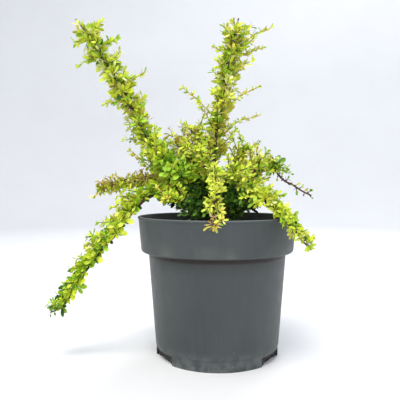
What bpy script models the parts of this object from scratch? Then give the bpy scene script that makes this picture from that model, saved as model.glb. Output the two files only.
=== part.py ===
"""A Japanese barberry in a round nursery pot, modelled in metres with +Z up.

The origin is the middle of the pot's underside, and -Y is the side the shrub is seen from. The pot is a
turned shell filled with growing medium. A short basal stem stands on the medium and carries the boughs.
Each bough ends where its foliage starts: a foliage mass is one stem with twigs and leaves fused to it, and
long shoots are several masses end to end. Pieces that touch keep a gap of 0.3 mm.
"""

import math
import random
from dataclasses import dataclass

import bmesh
import bpy
import numpy as np
from mathutils import Matrix, Vector

MM = 0.001
GAP = 0.3 * MM
MERGE_DISTANCE = 0.01 * MM
SMOOTH_UP_TO_DEG = 35.0

# Pot: a 3 litre injection-moulded container with a wide collar.
POT_HEIGHT = 164.0 * MM
RIM_RADIUS = 95.0 * MM
LIP_HEIGHT = 2.6 * MM
LIP_PROUD = 0.9 * MM
EDGE_ROUND = 0.6 * MM
COLLAR_FOOT_RADIUS = 91.0 * MM
COLLAR_FOOT_Z = 122.5 * MM
COLLAR_ROUND = 3.0 * MM
BODY_TOP_RADIUS = 82.2 * MM
FOOT_RADIUS = 73.0 * MM
FOOT_BAND_HEIGHT = 12.0 * MM
FOOT_BAND_SET = 0.7 * MM
FOOT_RING_WIDTH = 3.5 * MM
FLOOR_RAISE = 4.0 * MM
CENTRE_PAD_RADIUS = 20.0 * MM
WALL = 1.8 * MM
POT_SEGMENTS = 32

# Drainage notches in the foot, counted round from the front.
NOTCH_COUNT = 3
NOTCH_FIRST_DEG = 60.0
NOTCH_WIDTH = 40.0 * MM
NOTCH_HEIGHT = 7.5 * MM
NOTCH_DEPTH = 14.0 * MM
NOTCH_ROUND = 2.0 * MM

# Growing medium and the short stem that the boughs spring from.
MEDIUM_TOP = 141.0 * MM
MEDIUM_FALL = 2.0 * MM
STOCK_HEIGHT = 26.0 * MM
STOCK_FOOT_RADIUS = 13.0 * MM
STOCK_NECK_RADIUS = 9.5 * MM
STOCK_CROWN_RADIUS = 7.1 * MM
STOCK_CROWN_DROP = 1.0 * MM
STOCK_SEGMENTS = 12
# Radius and share of the height, from the crown down to the root flare.
STOCK_OUTLINE = ((9.0 * MM, 0.80), (STOCK_NECK_RADIUS, 0.35), (11.0 * MM, 0.12))

# Stems.
STEM_STEP = 13.0 * MM
BOUGH_RESOLUTION = 1
MASS_RESOLUTION = 0
ZIGZAG = 0.7 * MM
TIP_RADIUS = 0.8 * MM
CURVE_SAMPLES = 24

# Foliage: leaves stand in tufts on spurs, and each stands for two or three real leaves of its tuft.
GOLDEN_ANGLE = math.radians(137.5)
AROUND_SPREAD = 0.4
SIZE_SPREAD = 0.15
TUFT_LEAVES = 3
TUFT_STAGGER = 2.8 * MM
SPUR_SLANT_DEG = 28.0
SPUR_LIFT = 0.25
LEAF_LENGTH = 17.0 * MM
LEAF_WIDTH = 10.0 * MM
LEAF_THICKNESS = 0.8 * MM
LEAF_SIDES = 4
LEAF_SHOULDER = 0.62
LEAF_ROOT_SHARE = 0.3
LEAF_TILT_DEG = 52.0
LEAF_TILT_SPREAD_DEG = 12.0
LEAF_ROLL_DEG = 25.0
TWIG_EVERY = 3
TWIG_SIDES = 3
TWIG_FOOT_RADIUS = 0.9 * MM
TWIG_TIP_RADIUS = 0.5 * MM
TWIG_TILT_DEG = 52.0
TWIG_LIFT = 0.2
TWIG_TUFT_SPACING = 9.0 * MM
TWIG_TUFT_LEAVES = 2
TWIG_TUFT_PLACE = 0.85
TWIG_LEAF_SCALE = 0.8
TWIG_TESTED_SHARES = (0.35, 0.6, 0.8, 1.0)
LEAF_TRIES = 5
LEAF_TURN_SPREAD = 0.8
LEAF_CLEARANCE = 2.2 * MM
LIMB_CLEARANCE = 0.9 * MM
SPACE_MARGIN = 1.0 * MM
POT_CLEARANCE = 2.0 * MM
STOCK_CLEARANCE = 3.0 * MM
ROOT_ZONE = 3.5 * MM

BARK = ("barberry_bark", (0.105, 0.066, 0.042), 0.85)
LEAF_GREEN = ("leaf_green", (0.262, 0.456, 0.030), 0.5)
LEAF_LIME = ("leaf_lime", (0.451, 0.597, 0.048), 0.5)
LEAF_GOLD = ("leaf_gold", (0.584, 0.521, 0.086), 0.5)
POT_PLASTIC = ("pot_plastic", (0.091, 0.110, 0.120), 0.42)
MEDIUM = ("growing_medium", (0.040, 0.026, 0.018), 0.95)


@dataclass(frozen=True)
class Shoot:
    """A side shoot: where it leaves the stem, as a share of the route, and its tip in millimetres."""

    share: float
    tip: tuple


@dataclass(frozen=True)
class Route:
    """One limb, in millimetres, and the masses that clothe it.

    It starts in the basal stem, at root_radius from the middle and root_height above the medium, and passes
    through the points. masses gives, for each mass in turn, its name and the share of the route where it
    starts. The bough is what comes before the first.
    """

    name: str
    root_radius: float
    root_height: float
    points: tuple
    foot_radius: float
    masses: tuple
    tint: tuple
    spacing: float = 10.0
    leaf_scale: float = 1.0
    twig_length: float = 0.0
    shoots: tuple = ()


ROUTES = (
    Route(
        "left_rise",
        3, 11,
        ((-30, -5, 184), (-62, -8, 218), (-113, -18, 314), (-158, -25, 386)),
        2.9,
        (("left_rise_lower", 0.30), ("left_rise_upper", 0.66)),
        LEAF_GREEN,
        shoots=(Shoot(0.86, (-161, -20, 341)), Shoot(0.70, (-84, -24, 331)), Shoot(0.64, (-133, -10, 298)),
                Shoot(0.45, (-111, -2, 256))),
    ),
    Route(
        "right_rise",
        0.1, 20,
        ((-2, 4, 200), (-3, 9, 245), (9, 12, 318), (24, 16, 395)),
        2.8,
        (("right_rise_lower", 0.32), ("right_rise_upper", 0.64)),
        LEAF_GREEN,
        shoots=(Shoot(0.52, (-38, 8, 319)), Shoot(0.60, (48, 8, 315)), Shoot(0.49, (48, 20, 284)),
                Shoot(0.93, (60, 10, 389)), Shoot(0.84, (51, 20, 370))),
    ),
    Route(
        "left_arch",
        3, 4,
        ((-41, -17, 182), (-80, -24, 187), (-125, -30, 135), (-156, -33, 94), (-176, -35, 62),
         (-192, -36, 54)),
        2.4,
        (("left_arch_upper", 0.26), ("left_arch_middle", 0.52), ("left_arch_tip", 0.76)),
        LEAF_LIME,
    ),
    Route(
        "right_arch",
        3, 7,
        ((21, -21, 181), (44, -42, 189), (66, -64, 172), (93, -79, 138)),
        2.2,
        (("right_arch_upper", 0.26), ("right_arch_tip", 0.62)),
        LEAF_LIME,
    ),
    Route(
        "front_arch",
        3, 8,
        ((-1, -28, 194), (-2, -56, 213), (-1, -88, 198), (-2, -109, 160)),
        2.1,
        (("front_arch_upper", 0.28), ("front_arch_tip", 0.64)),
        LEAF_GOLD,
        spacing=8.0,
        leaf_scale=0.85,
    ),
    Route(
        "back_arch",
        3, 8,
        ((-6, 34, 188), (-18, 74, 196), (-28, 112, 174), (-34, 134, 132)),
        2.1,
        (("back_arch_upper", 0.28), ("back_arch_tip", 0.62)),
        LEAF_LIME,
    ),
    Route(
        "left_side",
        3, 9,
        ((-42, 18, 190), (-84, 23, 207), (-148, 30, 198)),
        2.0,
        (("left_side", 0.40),),
        LEAF_GOLD,
        leaf_scale=0.8,
        shoots=(Shoot(0.62, (-104, -4, 242)),),
    ),
    Route(
        "right_side",
        3, 11,
        ((28, 14, 194), (58, 22, 227), (86, 26, 206), (119, 30, 188)),
        1.9,
        (("right_side_inner", 0.30), ("right_side_tip", 0.64)),
        LEAF_LIME,
        leaf_scale=0.75,
        shoots=(Shoot(0.56, (78, 16, 234)),),
    ),
    Route(
        "top_left",
        6, 21,
        ((-20, 3, 212), (-42, -2, 254)),
        1.8,
        (("top_left", 0.22),),
        LEAF_GOLD,
        twig_length=20,
    ),
    Route(
        "top_middle",
        6, 23,
        ((-8, 18, 214), (-27, 18, 268)),
        1.7,
        (("top_middle", 0.26),),
        LEAF_GOLD,
        twig_length=18,
    ),
    Route(
        "top_right",
        6, 21,
        ((18, 14, 206), (34, 22, 246)),
        1.7,
        (("top_right", 0.28),),
        LEAF_LIME,
        twig_length=18,
    ),
    Route(
        "left_shoulder",
        6, 24,
        ((-30, -19, 206), (-70, -32, 238)),
        1.8,
        (("left_shoulder", 0.28),),
        LEAF_GREEN,
        spacing=7.5,
        leaf_scale=1.15,
        twig_length=18,
    ),
    Route(
        "front_left",
        3, 13,
        ((-24, -22, 194), (-50, -46, 216)),
        1.8,
        (("front_left", 0.28),),
        LEAF_GREEN,
        spacing=7.5,
        leaf_scale=1.15,
        twig_length=18,
    ),
    Route(
        "front_left_low",
        3, 8,
        ((-22, -33, 172), (-56, -56, 184)),
        1.7,
        (("front_left_low", 0.28),),
        LEAF_LIME,
        leaf_scale=1.1,
        twig_length=16,
    ),
    Route(
        "centre_front",
        6, 21,
        ((-10, -20, 206), (-22, -36, 240)),
        1.7,
        (("centre_front", 0.28),),
        LEAF_LIME,
        leaf_scale=1.1,
        twig_length=18,
    ),
    Route(
        "front_right",
        3, 15,
        ((12, -24, 194), (22, -48, 216)),
        1.7,
        (("front_right", 0.28),),
        LEAF_LIME,
        leaf_scale=1.1,
        twig_length=16,
    ),
    Route(
        "right_front",
        4, 17,
        ((26, -8, 198), (50, -14, 226)),
        1.8,
        (("right_front", 0.28),),
        LEAF_LIME,
        leaf_scale=1.1,
        twig_length=18,
    ),
    Route(
        "right_low",
        3, 5,
        ((32, -3, 172), (62, -8, 186)),
        1.7,
        (("right_low", 0.28),),
        LEAF_GREEN,
        leaf_scale=1.1,
        twig_length=16,
    ),
    Route(
        "back_left",
        3, 11,
        ((-22, 30, 198), (-44, 68, 226)),
        1.9,
        (("back_left", 0.26),),
        LEAF_GREEN,
        leaf_scale=1.2,
        twig_length=20,
    ),
    Route(
        "back_right",
        3, 13,
        ((22, 36, 194), (42, 78, 214)),
        1.9,
        (("back_right", 0.26),),
        LEAF_LIME,
        leaf_scale=1.2,
        twig_length=20,
    ),
)


def clear_scene():
    """Removes what a new Blender scene starts with."""
    for obj in list(bpy.data.objects):
        bpy.data.objects.remove(obj, do_unlink=True)


def new_collection(name, rendered=True):
    """A collection under the scene. Cutters go in one that isn't rendered."""
    made = bpy.data.collections.new(name)
    made.hide_render = not rendered
    bpy.context.scene.collection.children.link(made)
    return made


def material(name, colour, roughness):
    """A Principled material of one colour."""
    made = bpy.data.materials.get(name) or bpy.data.materials.new(name)
    made.use_nodes = True
    shader = made.node_tree.nodes["Principled BSDF"]
    shader.inputs["Base Color"].default_value = (*colour, 1.0)
    shader.inputs["Roughness"].default_value = roughness
    shader.inputs["Metallic"].default_value = 0.0
    return made


def add_object(name, mesh, where, finish=None):
    """An object of this mesh in a collection."""
    obj = bpy.data.objects.new(name, mesh)
    where.objects.link(obj)
    if finish:
        mesh.materials.clear()
        mesh.materials.append(material(*finish))
    return obj


def apply_modifiers(obj):
    """Puts what the modifiers make into the object's own mesh."""
    graph = bpy.context.evaluated_depsgraph_get()
    mesh = bpy.data.meshes.new_from_object(obj.evaluated_get(graph), depsgraph=graph)
    obj.modifiers.clear()
    obj.data = mesh


def turned(name, profile, segments, where, finish):
    """A solid turned about +Z from a profile of (radius, height) that runs down its outer side."""
    mesh = bpy.data.meshes.new(name)
    build = bmesh.new()
    corners = [build.verts.new((radius, 0.0, height)) for radius, height in profile]
    for first, second in zip(corners, corners[1:]):
        build.edges.new((first, second))
    build.to_mesh(mesh)
    build.free()
    obj = add_object(name, mesh, where, finish)
    screw = obj.modifiers.new("turn", "SCREW")
    screw.steps = segments
    screw.render_steps = segments
    screw.use_merge_vertices = True
    screw.merge_threshold = MERGE_DISTANCE
    screw.use_smooth_shade = False
    return obj


def pot_profile():
    """The pot's wall and floor, from the floor's middle up the inside, over the rim and down the outside."""
    inner_floor = FLOOR_RAISE + WALL
    rim_inner = RIM_RADIUS - LIP_PROUD - WALL
    ring_inner = FOOT_RADIUS - FOOT_RING_WIDTH
    pad_outer = CENTRE_PAD_RADIUS + FLOOR_RAISE
    round_middle = (1.0 - math.sqrt(0.5)) * COLLAR_ROUND
    inside = [
        (0.0, WALL),
        (CENTRE_PAD_RADIUS, WALL),
        (pad_outer, inner_floor),
        (FOOT_RADIUS - WALL, inner_floor),
        (BODY_TOP_RADIUS - WALL, COLLAR_FOOT_Z),
        (COLLAR_FOOT_RADIUS - WALL, COLLAR_FOOT_Z + COLLAR_ROUND + WALL),
        (rim_inner, POT_HEIGHT),
    ]
    outside = [
        (RIM_RADIUS - EDGE_ROUND, POT_HEIGHT),
        (RIM_RADIUS, POT_HEIGHT - EDGE_ROUND),
        (RIM_RADIUS, POT_HEIGHT - LIP_HEIGHT),
        (RIM_RADIUS - LIP_PROUD, POT_HEIGHT - LIP_HEIGHT - EDGE_ROUND),
        (COLLAR_FOOT_RADIUS, COLLAR_FOOT_Z + COLLAR_ROUND),
        (COLLAR_FOOT_RADIUS - round_middle, COLLAR_FOOT_Z + round_middle),
        (COLLAR_FOOT_RADIUS - COLLAR_ROUND, COLLAR_FOOT_Z),
        (BODY_TOP_RADIUS, COLLAR_FOOT_Z - 2 * EDGE_ROUND),
        (FOOT_RADIUS + FOOT_BAND_SET, FOOT_BAND_HEIGHT + EDGE_ROUND),
        (FOOT_RADIUS, FOOT_BAND_HEIGHT),
        (FOOT_RADIUS, 0.0),
        (ring_inner, 0.0),
        (ring_inner - EDGE_ROUND, FLOOR_RAISE),
        (pad_outer - EDGE_ROUND, FLOOR_RAISE),
        (CENTRE_PAD_RADIUS, 0.0),
        (0.0, 0.0),
    ]
    return inside + outside


def inner_radius(height):
    """The radius of the pot's inside at this height."""
    if height > COLLAR_FOOT_Z + COLLAR_ROUND + WALL:
        low, high = COLLAR_FOOT_RADIUS, RIM_RADIUS - LIP_PROUD
        share = (height - COLLAR_FOOT_Z) / (POT_HEIGHT - COLLAR_FOOT_Z)
    else:
        low, high = FOOT_RADIUS, BODY_TOP_RADIUS
        share = height / COLLAR_FOOT_Z
    return low + (high - low) * share - WALL


def make_pot(parts, cutters):
    """The pot, with its drainage notches cut through the foot."""
    pot = turned("pot", pot_profile(), POT_SEGMENTS, parts, POT_PLASTIC)
    apply_modifiers(pot)
    for index in range(NOTCH_COUNT):
        angle = math.radians(NOTCH_FIRST_DEG + index * 360.0 / NOTCH_COUNT - 90.0)
        mesh = bpy.data.meshes.new("notch")
        build = bmesh.new()
        bmesh.ops.create_cube(build, size=1.0)
        size = Matrix.Diagonal((2 * NOTCH_DEPTH, NOTCH_WIDTH, 2 * NOTCH_HEIGHT, 1.0))
        bmesh.ops.transform(build, matrix=size, verts=build.verts)
        runs = [(edge, edge.verts[0].co - edge.verts[1].co) for edge in build.edges]
        radial = [edge for edge, run in runs if abs(run.x) > NOTCH_DEPTH]
        bmesh.ops.bevel(build, geom=radial, offset=NOTCH_ROUND, segments=2, profile=0.5, affect="EDGES")
        place = Matrix.Rotation(angle, 4, "Z") @ Matrix.Translation((FOOT_RADIUS, 0.0, 0.0))
        bmesh.ops.transform(build, matrix=place, verts=build.verts)
        build.to_mesh(mesh)
        build.free()
        cutter = add_object(f"notch_{index}", mesh, cutters)
        cutter.display_type = "WIRE"
        cutter.hide_render = True
        cut = pot.modifiers.new(f"notch_{index}", "BOOLEAN")
        cut.operation = "DIFFERENCE"
        cut.object = cutter
    apply_modifiers(pot)
    pot.data.shade_smooth()
    pot.data.set_sharp_from_angle(angle=math.radians(SMOOTH_UP_TO_DEG))


def make_medium(parts):
    """The growing medium, which fills the pot to a little under the rim."""
    floor = FLOOR_RAISE + WALL + GAP
    clear = WALL + 2 * GAP
    profile = [
        (0.0, MEDIUM_TOP),
        (0.5 * COLLAR_FOOT_RADIUS, MEDIUM_TOP),
        (inner_radius(MEDIUM_TOP) - 2 * GAP, MEDIUM_TOP - MEDIUM_FALL),
        (COLLAR_FOOT_RADIUS - clear, COLLAR_FOOT_Z + COLLAR_ROUND + WALL + GAP),
        (BODY_TOP_RADIUS - clear, COLLAR_FOOT_Z + GAP),
        (FOOT_RADIUS - clear, floor),
        (0.0, floor),
    ]
    turned("growing_medium", profile, POT_SEGMENTS, parts, MEDIUM)


def stock_profile(grown):
    """The basal stem's profile, thicker all over by grown."""
    foot = MEDIUM_TOP + GAP
    outline = [(radius + grown, foot + share * STOCK_HEIGHT) for radius, share in STOCK_OUTLINE]
    return [
        (0.0, foot + STOCK_HEIGHT + grown),
        (STOCK_CROWN_RADIUS + grown, foot + STOCK_HEIGHT - STOCK_CROWN_DROP + grown),
        *outline,
        (STOCK_FOOT_RADIUS + grown, foot - grown),
        (0.0, foot - grown),
    ]


def smooth_route(route):
    """Evenly spaced points on a smooth curve from inside the basal stem through the route's points."""
    given = [Vector(point) * MM for point in route.points]
    outward = Vector((given[0].x, given[0].y, 0.0)).normalized()
    root = outward * route.root_radius * MM + Vector((0.0, 0.0, MEDIUM_TOP + route.root_height * MM))
    given.insert(0, root)
    ends = [2 * given[0] - given[1], *given, 2 * given[-1] - given[-2]]
    dense = []
    for before, start, end, after in zip(ends, ends[1:], ends[2:], ends[3:]):
        for share in np.linspace(0.0, 1.0, CURVE_SAMPLES, endpoint=False):
            square, cube = share * share, share**3
            dense.append(
                0.5
                * (
                    2 * start
                    + (end - before) * share
                    + (2 * before - 5 * start + 4 * end - after) * square
                    + (3 * start - before - 3 * end + after) * cube
                )
            )
    dense.append(given[-1])
    dense = np.array([tuple(point) for point in dense])
    lengths = np.concatenate([[0.0], np.cumsum(np.linalg.norm(np.diff(dense, axis=0), axis=1))])
    count = max(3, round(lengths[-1] / STEM_STEP) + 1)
    even = np.linspace(0.0, lengths[-1], count)
    return np.column_stack([np.interp(even, lengths, dense[:, axis]) for axis in range(3)])


def zigzag(points, seed):
    """The small kinks that a barberry stem has at its nodes. The ends stay."""
    draw = random.Random(seed)
    kinked = points.copy()
    for index in range(1, len(points) - 1):
        along = Vector(points[index + 1] - points[index - 1]).normalized()
        across = along.orthogonal().normalized()
        angle = index * GOLDEN_ANGLE + draw.uniform(-AROUND_SPREAD, AROUND_SPREAD)
        turn = Matrix.Rotation(angle, 3, along)
        kinked[index] += np.array(turn @ across) * ZIGZAG
    return kinked


@dataclass
class Stem:
    """A tapering stretch of a route: a bough, or the stem inside a mass."""

    name: str
    points: np.ndarray
    radii: np.ndarray
    is_bough: bool
    route: Route
    shoots: tuple = ()

    def at(self, share):
        """The point, the direction and the radius at this share of the stretch."""
        place = min(max(share, 0.0), 1.0) * (len(self.points) - 1)
        low = min(int(place), len(self.points) - 2)
        rest = place - low
        point = Vector(self.points[low] * (1 - rest) + self.points[low + 1] * rest)
        along = Vector(self.points[low + 1] - self.points[low]).normalized()
        radius = self.radii[low] * (1 - rest) + self.radii[low + 1] * rest
        return point, along, radius

    def length(self):
        """The length along the stretch."""
        return float(np.linalg.norm(np.diff(self.points, axis=0), axis=1).sum())


def stretch(points, radii, low, high):
    """The part of a route between two shares of it, as points and radii."""
    places = np.linspace(0.0, 1.0, len(points))
    inside = places[(places > low) & (places < high)]
    wanted = np.concatenate([[low], inside, [high]])
    cut = np.column_stack([np.interp(wanted, places, points[:, axis]) for axis in range(3)])
    return cut, np.interp(wanted, places, radii)


def stems_of(route, seed):
    """The bough and the mass stems of a route, each end 0.3 mm clear of the next.

    Each cut is moved to the middle of its segment, so that the two faces that meet there are parallel.
    """
    points = zigzag(smooth_route(route), seed)
    radii = np.linspace(route.foot_radius * MM, TIP_RADIUS, len(points))
    segments = len(points) - 1
    total = float(np.linalg.norm(np.diff(points, axis=0), axis=1).sum())
    starts = [(math.floor(share * segments) + 0.5) / segments for _, share in route.masses]
    names = [name for name, _ in route.masses]
    spans = list(zip([f"bough_{route.name}", *names], [0.0, *starts], [*starts, 1.0]))
    stems = []
    for index, (name, low, high) in enumerate(spans):
        clear = GAP / total if high < 1.0 else 0.0
        cut, cut_radii = stretch(points, radii, low, high - clear)
        shoots = tuple(shoot for shoot in route.shoots if index and low <= shoot.share < high)
        shoots = tuple(Shoot((shoot.share - low) / (high - low), shoot.tip) for shoot in shoots)
        stems.append(Stem(name, cut, cut_radii, index == 0, route, shoots))
    return stems


def tube_mesh(name, points, radii, resolution):
    """A closed tapering tube through the points, from a curve with filled caps."""
    curve = bpy.data.curves.new(name, "CURVE")
    curve.dimensions = "3D"
    curve.bevel_depth = 1.0
    curve.bevel_resolution = resolution
    curve.use_fill_caps = True
    spline = curve.splines.new("POLY")
    spline.points.add(len(points) - 1)
    for knot, point, radius in zip(spline.points, points, radii):
        knot.co = (*point, 1.0)
        knot.radius = radius
    guide = bpy.data.objects.new(name, curve)
    bpy.context.scene.collection.objects.link(guide)
    bpy.context.view_layer.update()
    graph = bpy.context.evaluated_depsgraph_get()
    mesh = bpy.data.meshes.new_from_object(guide.evaluated_get(graph), depsgraph=graph)
    bpy.data.objects.remove(guide, do_unlink=True)
    build = bmesh.new()
    build.from_mesh(mesh)
    bmesh.ops.remove_doubles(build, verts=build.verts, dist=MERGE_DISTANCE)
    bmesh.ops.recalc_face_normals(build, faces=build.faces)
    build.to_mesh(mesh)
    build.free()
    return mesh


def leaf_mesh():
    """One leaf of eight faces, widest at its shoulder, from its root at the origin to its tip along +Y."""
    mesh = bpy.data.meshes.new("leaf")
    build = bmesh.new()
    bmesh.ops.create_uvsphere(build, u_segments=LEAF_SIDES, v_segments=2, radius=1.0)
    for corner in build.verts:
        beyond = corner.co.y * (1.0 - LEAF_SHOULDER if corner.co.y > 0 else LEAF_SHOULDER)
        across = 0.5 * LEAF_WIDTH * corner.co.x
        corner.co = (across, (LEAF_SHOULDER + beyond) * LEAF_LENGTH, 0.5 * LEAF_THICKNESS * corner.co.z)
    bmesh.ops.recalc_face_normals(build, faces=build.faces)
    build.to_mesh(mesh)
    build.free()
    return mesh


def facing_matrix(root, direction, upper, size):
    """The matrix that lays a leaf along direction with its face towards upper."""
    length_axis = direction.normalized()
    width_axis = length_axis.cross(upper).normalized()
    face_axis = width_axis.cross(length_axis)
    turn = Matrix((width_axis, length_axis, face_axis)).transposed().to_4x4()
    return Matrix.Translation(root) @ turn @ Matrix.Scale(size, 4)


def distance_to_stem(points, stem):
    """How far each point is from the stem's surface."""
    starts, ends = stem.points[:-1], stem.points[1:]
    runs = ends - starts
    away = points[:, None, :] - starts[None, :, :]
    share = np.clip((away * runs).sum(2) / (runs * runs).sum(1), 0.0, 1.0)
    nearest = starts + share[..., None] * runs
    gap = np.linalg.norm(points[:, None, :] - nearest, axis=2)
    radii = stem.radii[:-1] + share * (stem.radii[1:] - stem.radii[:-1])
    return (gap - radii).min(1)


def clear_of_pot(points):
    """True if no point is in, or close to, the pot's wall, the medium or the basal stem."""
    for x, y, z in points:
        radius = math.hypot(x, y)
        if z > POT_HEIGHT + POT_CLEARANCE:
            continue
        outside = radius > RIM_RADIUS + POT_CLEARANCE and z > POT_CLEARANCE
        stock = radius < STOCK_NECK_RADIUS + STOCK_CLEARANCE
        inside = radius < inner_radius(MEDIUM_TOP) - POT_CLEARANCE and z > MEDIUM_TOP + POT_CLEARANCE
        if not outside and (not inside or stock):
            return False
    return True


class Foliage:
    """Grows one mass's leaves and twigs, inside the space that is nearer to its stem than to any other."""

    def __init__(self, stem, stems, seed, leaf, where):
        self.stem = stem
        self.limbs = [other for other in stems if other.is_bough]
        self.others = [other for other in stems if not other.is_bough and other is not stem]
        self.random = random.Random(seed)
        self.leaf = leaf
        self.where = where
        self.taken = np.empty((0, 3))

    def around(self, index):
        """The angle round the stem of the tuft or twig with this number."""
        return index * GOLDEN_ANGLE + self.random.uniform(-AROUND_SPREAD, AROUND_SPREAD)

    def varied(self, size):
        """A size a little above or below the one given."""
        return size * self.random.uniform(1.0 - SIZE_SPREAD, 1.0 + SIZE_SPREAD)

    def keeps_its_space(self, points):
        """True if all of the points lie in this mass's space and clear of every limb."""
        if not clear_of_pot(points):
            return False
        for limb in self.limbs:
            if (distance_to_stem(points, limb) < LIMB_CLEARANCE).any():
                return False
        own = distance_to_stem(points, self.stem)
        for other in self.others:
            if (distance_to_stem(points, other) < own + SPACE_MARGIN).any():
                return False
        return True

    def clear_of_leaves(self, points):
        """True if no point comes close to a leaf that is already there."""
        if not len(self.taken):
            return True
        return np.linalg.norm(points[:, None, :] - self.taken[None, :, :], axis=2).min() > LEAF_CLEARANCE

    def add_leaf(self, root, direction, upper, size):
        """Adds a leaf along direction, facing upper, if its space allows. Returns whether it did."""
        roll = math.radians(self.random.uniform(-1, 1) * LEAF_ROLL_DEG)
        upper = Matrix.Rotation(roll, 3, direction) @ upper
        place = facing_matrix(root, direction, upper, size)
        corners = np.array([tuple(place @ corner.co) for corner in self.leaf.vertices])
        tested = np.vstack([corners, (corners + corners.mean(0)) / 2])
        tested = tested[np.linalg.norm(tested - np.array(root), axis=1) > ROOT_ZONE]
        if not self.keeps_its_space(tested) or not self.clear_of_leaves(tested):
            return False
        self.taken = np.vstack([self.taken, tested])
        obj = bpy.data.objects.new("leaf", self.leaf)
        obj.matrix_world = place
        self.where.objects.link(obj)
        return True

    def add_tuft(self, share, limb, around, leaves, size):
        """Adds a tuft: leaves that stand round a spur, which leaves the limb on the side given by around."""
        length = limb.length()
        slant = math.radians(SPUR_SLANT_DEG)
        for index in range(leaves):
            spot, along, radius = limb.at(share + (index - 0.5 * (leaves - 1)) * TUFT_STAGGER / length)
            radial = Matrix.Rotation(around, 3, along) @ along.orthogonal().normalized()
            spot += radial * radius * LEAF_ROOT_SHARE
            spur = radial * math.cos(slant) + along * math.sin(slant) + Vector((0, 0, SPUR_LIFT))
            spur.normalize()
            for _ in range(LEAF_TRIES):
                spread = math.radians(LEAF_TILT_DEG + self.random.uniform(-1, 1) * LEAF_TILT_SPREAD_DEG)
                turn = 2 * math.pi * (index + LEAF_TURN_SPREAD * self.random.random()) / leaves
                out = Matrix.Rotation(turn, 3, spur) @ spur.cross(along).normalized()
                direction = spur * math.cos(spread) + out * math.sin(spread)
                upper = spur * math.sin(spread) - out * math.cos(spread)
                if self.add_leaf(spot, direction, upper, self.varied(size)):
                    break

    def add_twig(self, root, tip):
        """Adds a straight three-sided twig with tufts of two leaves, if its space allows."""
        run = tip - root
        tested = np.array([tuple(root + run * share) for share in TWIG_TESTED_SHARES])
        if not self.keeps_its_space(tested):
            return
        mesh = bpy.data.meshes.new("twig")
        build = bmesh.new()
        bmesh.ops.create_cone(
            build,
            cap_ends=True,
            segments=TWIG_SIDES,
            radius1=TWIG_FOOT_RADIUS,
            radius2=TWIG_TIP_RADIUS,
            depth=run.length,
        )
        middle = Matrix.Translation((root + tip) / 2) @ run.to_track_quat("Z", "Y").to_matrix().to_4x4()
        bmesh.ops.transform(build, matrix=middle, verts=build.verts)
        build.to_mesh(mesh)
        build.free()
        self.where.objects.link(bpy.data.objects.new("twig", mesh))
        ends = np.array([tuple(root), tuple(tip)])
        limb = Stem("twig", ends, np.array([TWIG_FOOT_RADIUS, TWIG_TIP_RADIUS]), False, None)
        tufts = max(1, round(run.length / TWIG_TUFT_SPACING) - 1)
        size = TWIG_LEAF_SCALE * self.stem.route.leaf_scale
        for index in range(tufts):
            around = index * math.pi + self.random.uniform(-AROUND_SPREAD, AROUND_SPREAD)
            self.add_tuft((index + TWIG_TUFT_PLACE) / tufts, limb, around, TWIG_TUFT_LEAVES, size)

    def side_twig(self, share, around):
        """Adds a twig that leaves the stem at a slant."""
        spot, along, _ = self.stem.at(share)
        radial = Matrix.Rotation(around, 3, along) @ along.orthogonal().normalized()
        tilt = math.radians(TWIG_TILT_DEG)
        direction = along * math.cos(tilt) + radial * math.sin(tilt) + Vector((0, 0, TWIG_LIFT))
        length = self.varied(self.stem.route.twig_length * MM)
        self.add_twig(spot, spot + direction.normalized() * length)

    def grow(self):
        """Fills the collection with this mass's leaves and twigs."""
        route = self.stem.route
        count = max(2, round(self.stem.length() / (route.spacing * MM)))
        for index in range(count):
            share = (index + 0.5) / count
            around = self.around(index)
            self.add_tuft(share, self.stem, around, TUFT_LEAVES, route.leaf_scale)
            if index % TWIG_EVERY == 1 and route.twig_length:
                self.side_twig(share, around + math.pi)
        for shoot in self.stem.shoots:
            spot, _, _ = self.stem.at(shoot.share)
            self.add_twig(spot, Vector(shoot.tip) * MM)


def cut_clear(obj, cutter):
    """Cuts a limb's foot back from the basal stem."""
    cut = obj.modifiers.new("basal_stem", "BOOLEAN")
    cut.operation = "DIFFERENCE"
    cut.object = cutter
    apply_modifiers(obj)


def keep_main_shell(obj):
    """Keeps the shell with the most faces and drops scraps and sealed hollows. Returns their number."""
    build = bmesh.new()
    build.from_mesh(obj.data)
    unseen = set(build.faces)
    shells = []
    while unseen:
        shell = set()
        edge_of_shell = [next(iter(unseen))]
        while edge_of_shell:
            face = edge_of_shell.pop()
            if face in unseen:
                unseen.remove(face)
                shell.add(face)
                shared = [edge for edge in face.edges if len(edge.link_faces) == 2]
                edge_of_shell += [near for edge in shared for near in edge.link_faces]
        shells.append(shell)
    main_shell = max(shells, key=len)
    loose = [face for face in build.faces if face not in main_shell]
    bmesh.ops.delete(build, geom=loose, context="FACES")
    build.to_mesh(obj.data)
    build.free()
    return len(shells) - 1


def make_mass(stem, stems, seed, leaf, parts):
    """One foliage mass: its stem, joined with the leaves and twigs that grow from it."""
    mesh = tube_mesh(stem.name, stem.points, stem.radii, MASS_RESOLUTION)
    obj = add_object(stem.name, mesh, parts, stem.route.tint)
    sprays = new_collection("sprays", rendered=False)
    Foliage(stem, stems, seed, leaf, sprays).grow()
    bpy.context.view_layer.update()
    join = obj.modifiers.new("sprays", "BOOLEAN")
    join.operation = "UNION"
    join.operand_type = "COLLECTION"
    join.collection = sprays
    join.solver = "MANIFOLD"
    apply_modifiers(obj)
    count = len(sprays.objects)
    for spray in list(sprays.objects):
        bpy.data.objects.remove(spray, do_unlink=True)
    bpy.data.collections.remove(sprays)
    dropped = keep_main_shell(obj)
    print(stem.name, count, "sprays", dropped, "dropped")


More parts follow.
